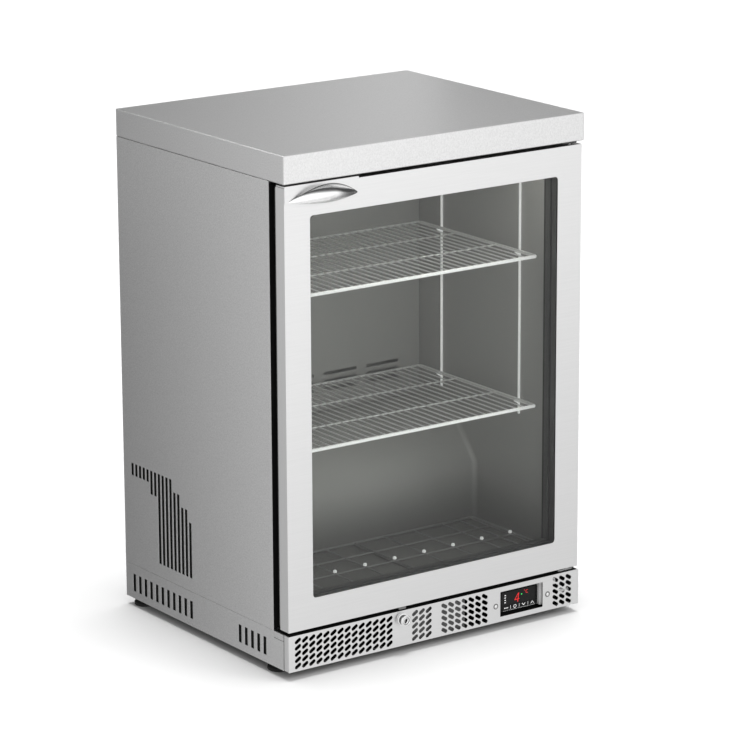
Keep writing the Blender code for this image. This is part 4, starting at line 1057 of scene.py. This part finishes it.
def scoop_ring(u):
    """The scoop's section at u, tip to tip: (depth, height, shade) points, the shade being painted shade and
    painted reflection for the chrome, 0 being the darkest shade.
    """
    tip, low, lip, crest, pull, wall = 790, 782, 808.3, 811, 20.5, 1.4
    bow = math.sin(math.pi * u)
    bottom = tip - (tip - low) * bow ** 0.7
    top = tip + 0.9 + (lip - tip) * math.sin(math.pi * u ** 0.868) ** (1.2 - 0.5 * eased(0.6, 1, u))
    back = tip + 0.9 + (crest - tip) * math.sin(math.pi * u ** 1.27) ** 0.85
    proud = pull * bow ** 1.5 + 0.4
    painted_dark_right = eased(0.60, 0.93, u)
    ring = []
    count, end = 26, math.radians(128)
    for i in range(count + 1):
        angle = end * i / count
        v = i / count
        # painted shade and painted reflection under the lip, at the right end and low down
        low_shadow = (1 - eased(0.10, 0.42, v)) * eased(0.38, 0.66, u)
        lip_start = 0.90 - 0.13 * eased(0, 0.5, u) - 0.20 * painted_dark_right
        lip_shadow = eased(lip_start, lip_start + 0.16, v)
        dark = max(0.74 * lip_shadow, 0.56 * painted_dark_right, 0.66 * low_shadow)
        ring.append((-1 - proud * math.sin(angle),
                     bottom + (top - bottom) * (1 - math.cos(angle)) / (1 - math.cos(end)), 1 - dark))
    out, high, _ = ring[-1]
    # painted shade on the rolled lip and down inside it
    ring.append((out + 0.6 * min(wall, proud * 0.2), high + 0.25, 0.2))
    ring.append((out + min(wall, proud * 0.3), high - 0.1, 0.6))
    deep = min(out + wall, -1.25)
    drop = (high - bottom - 1) * 0.5
    for i in range(1, 6):
        t = i / 6
        ring.append((deep + (-1.25 - deep) * t * t, high - drop * t, 0.9))
    floor = min(high, back) - drop
    # painted shade on the wall inside the scoop, darkest under its top edge
    for t, shade in ((0, 0.95), (0.5, 0.95), (0.74, 0.9), (0.86, 0.7), (0.95, 0.35), (1, 0.3)):
        ring.append((-1.42, floor + (back - floor) * t, shade))
    ring.append((-0.4, back, 0.5))
    ring.append((-0.4, bottom, 0.7))
    return ring


def make_handle():
    """A scoop, open upwards, at the door's top corner, on a plate folded over the door's top edge."""
    steel, left, right, steps = "door_steel", -292.5, -159.5, 84
    edge, plate_right = -299.5, -157
    bm = bmesh.new()
    # the shade layer holds painted shade and painted reflection for the chrome's colour
    layer = bm.verts.layers.float.new("shade")
    rings = []
    for u in (0.004 + 0.992 * i / steps for i in range(steps + 1)):
        ring = []
        for depth, height, shade in scoop_ring(u):
            vert = bm.verts.new(place(left + (right - left) * u, depth, height))
            vert[layer] = shade
            ring.append(vert)
        rings.append(ring)
    stitched(bm, rings, False)
    for ring in (rings[0], rings[-1]):
        bm.faces.new(ring)
    scoop = solid("scoop", bm, "handle_chrome", 60)
    outline = [(edge, 788.5), (left, 787), (-272, 782), (-244, 779.5), (-199, 781),
               (right, 787), (plate_right, 791), (plate_right, 816.3), (edge, 816.3)]
    back = plate("handle_plate", [outline], "Y", -1.3, -0.3, steel, 0.4, 2)
    fold = slab("handle_fold", edge, plate_right, -1.1, 22, 813.6, 816.2, steel, 0.6, 2)
    shown(joined("scoop_handle", scoop, back, fold), "handle_chrome", "handle", body="door")


# -------- stage


def make_stage():
    bm = bmesh.new()
    reach = 40
    bm.faces.new([bm.verts.new((x, y, 0)) for x, y in rectangle(-reach, reach, -reach, reach)])
    floor = solid("studio_ground", bm, "studio_floor")
    floor.visible_glossy = False


def make_world():
    """A pale room, brighter in front of the object than behind it."""
    world = bpy.data.worlds.new("studio")
    bpy.context.scene.world = world
    world.use_nodes = True
    tree = world.node_tree
    way = shader_node(tree, "TexCoord").outputs["Generated"]
    lean = shader_node(tree, "VectorMath", {0: way, 1: (0.08, -0.30, 0)}, operation="DOT_PRODUCT")
    level = shader_node(tree, "Math", {0: lean.outputs["Value"], 1: 0.78}, operation="ADD")
    back = tree.nodes["Background"]
    tree.links.new(level.outputs["Value"], back.inputs["Strength"])
    back.inputs["Color"].default_value = WHITE


def card(name, left, right, low, high, start, end, dim, bright):
    """An upright screen that only mirrors see. Its light goes from dim to bright between two points."""
    tree = blank_finish(name)[1]
    FINISH[name].cycles.emission_sampling = "NONE"
    way = Vector(end) - Vector(start)
    offset = Vector(start).dot(way) / way.length_squared
    place_on = {0: shader_node(tree, "TexCoord").outputs["Object"], 1: way / way.length_squared}
    along = shader_node(tree, "VectorMath", place_on, operation="DOT_PRODUCT").outputs["Value"]
    ends = {"From Min": offset, "From Max": offset + 1, "To Min": dim, "To Max": bright}
    level = shader_node(tree, "MapRange", {"Value": along, **ends}, interpolation_type="SMOOTHSTEP")
    light = shader_node(tree, "Emission", {"Color": WHITE, "Strength": level.outputs["Result"]})
    shader_node(tree, "OutputMaterial", {"Surface": light.outputs["Emission"]})
    bm = bmesh.new()
    corners = ((*left, low), (*right, low), (*right, high), (*left, high))
    bm.faces.new([bm.verts.new(corner) for corner in corners])
    screen = solid(name, bm, name)
    for sight in ("camera", "diffuse", "transmission", "shadow", "volume_scatter"):
        setattr(screen, "visible_" + sight, False)


def make_cards():
    """Screens in front of the object, behind it and to both sides.

    Each: left and right ends on the ground, low and high edges, and where the light starts and ends.
    """
    for name, left, right, low, high, start, end, dim, bright in (
        ("front", (-1.6, -1.3), (3.4, -1.3), -1.4, 1.2, (1.2, -1.3, -0.79), (0.3, -1.3, 0.99), 0.72, 1.24),
        ("left", (-1, -1.25), (-1, 2.6), -1.2, 1.3, (-1, 1.36, 0.1), (-1, 0.55, 0.27), 0.135, 0.75),
        ("right", (1.15, -1), (1.15, 2.6), -1.2, 1.6, (1.15, -0.4, 0), (1.15, -1.05, 0.1), 0.38, 1.04),
        ("back", (-1.4, 1.3), (3.2, 1.3), 0.4, 2, (0.1, 1.3, 1.1), (1.6, 1.3, 1.1), 0.27, 0.84),
        ("rim", (-2.2, 0.9), (-0.3, 3.2), 1.5, 4.2, (-2.2, 0.9, 1.5), (-0.3, 3.2, 1.5), 3.2, 3.2)):
        card(name + "_card", left, right, low, high, start, end, dim, bright)


def make_lights():
    key = bpy.data.lights.new("key", "AREA")
    key.shape = "RECTANGLE"
    key.size = key.size_y = 1.8
    key.energy = 45
    where = Vector((2, -3.4, 3.2))
    aim = (Vector((0, 0, 0.5)) - where).to_track_quat("-Z", "Y").to_euler()
    sky = bpy.data.lights.new("sky", "SUN")
    sky.energy = 3.5
    sky.angle = math.radians(25)
    for data, at, turn in ((key, where, aim), (sky, (0, 0, 0), (math.radians(-1), math.radians(1.5), 0))):
        light = link(data.name, data)
        light.location = at
        light.rotation_euler = turn
        light.visible_glossy = False


def make_camera():
    eye = (-3.35568, -4.74125, 1.97891)
    data = bpy.data.cameras.new("camera")
    data.sensor_width = 36
    data.lens = 175.745
    data.clip_end = 200
    camera = link("camera", data)
    yaw, pitch, roll = (math.radians(a) for a in (35.48555, 14.93117, -0.27253))
    forward = Vector((math.sin(yaw) * math.cos(pitch), math.cos(yaw) * math.cos(pitch), -math.sin(pitch)))
    right = Vector((math.cos(yaw), -math.sin(yaw), 0))
    turn = Matrix((right, right.cross(forward), -forward)).transposed() @ Matrix.Rotation(roll, 3, "Z")
    camera.matrix_world = Matrix.Translation(eye) @ turn.to_4x4()
    bpy.context.scene.camera = camera


def main():
    make_finishes()
    for make in (make_worktop, make_sides, make_screens, make_back, make_base, make_feet, make_grille,
                 make_liner, make_breaker, make_strips, make_shelves, make_cold_rear, make_lamp,
                 make_compressor, make_condenser, make_pipes, make_wiring, make_lock, make_display,
                 make_hinges, make_door, make_handle, make_stage, make_world, make_cards, make_lights,
                 make_camera):
        make()
    bpy.context.scene.view_settings.view_transform = "Standard"


main()
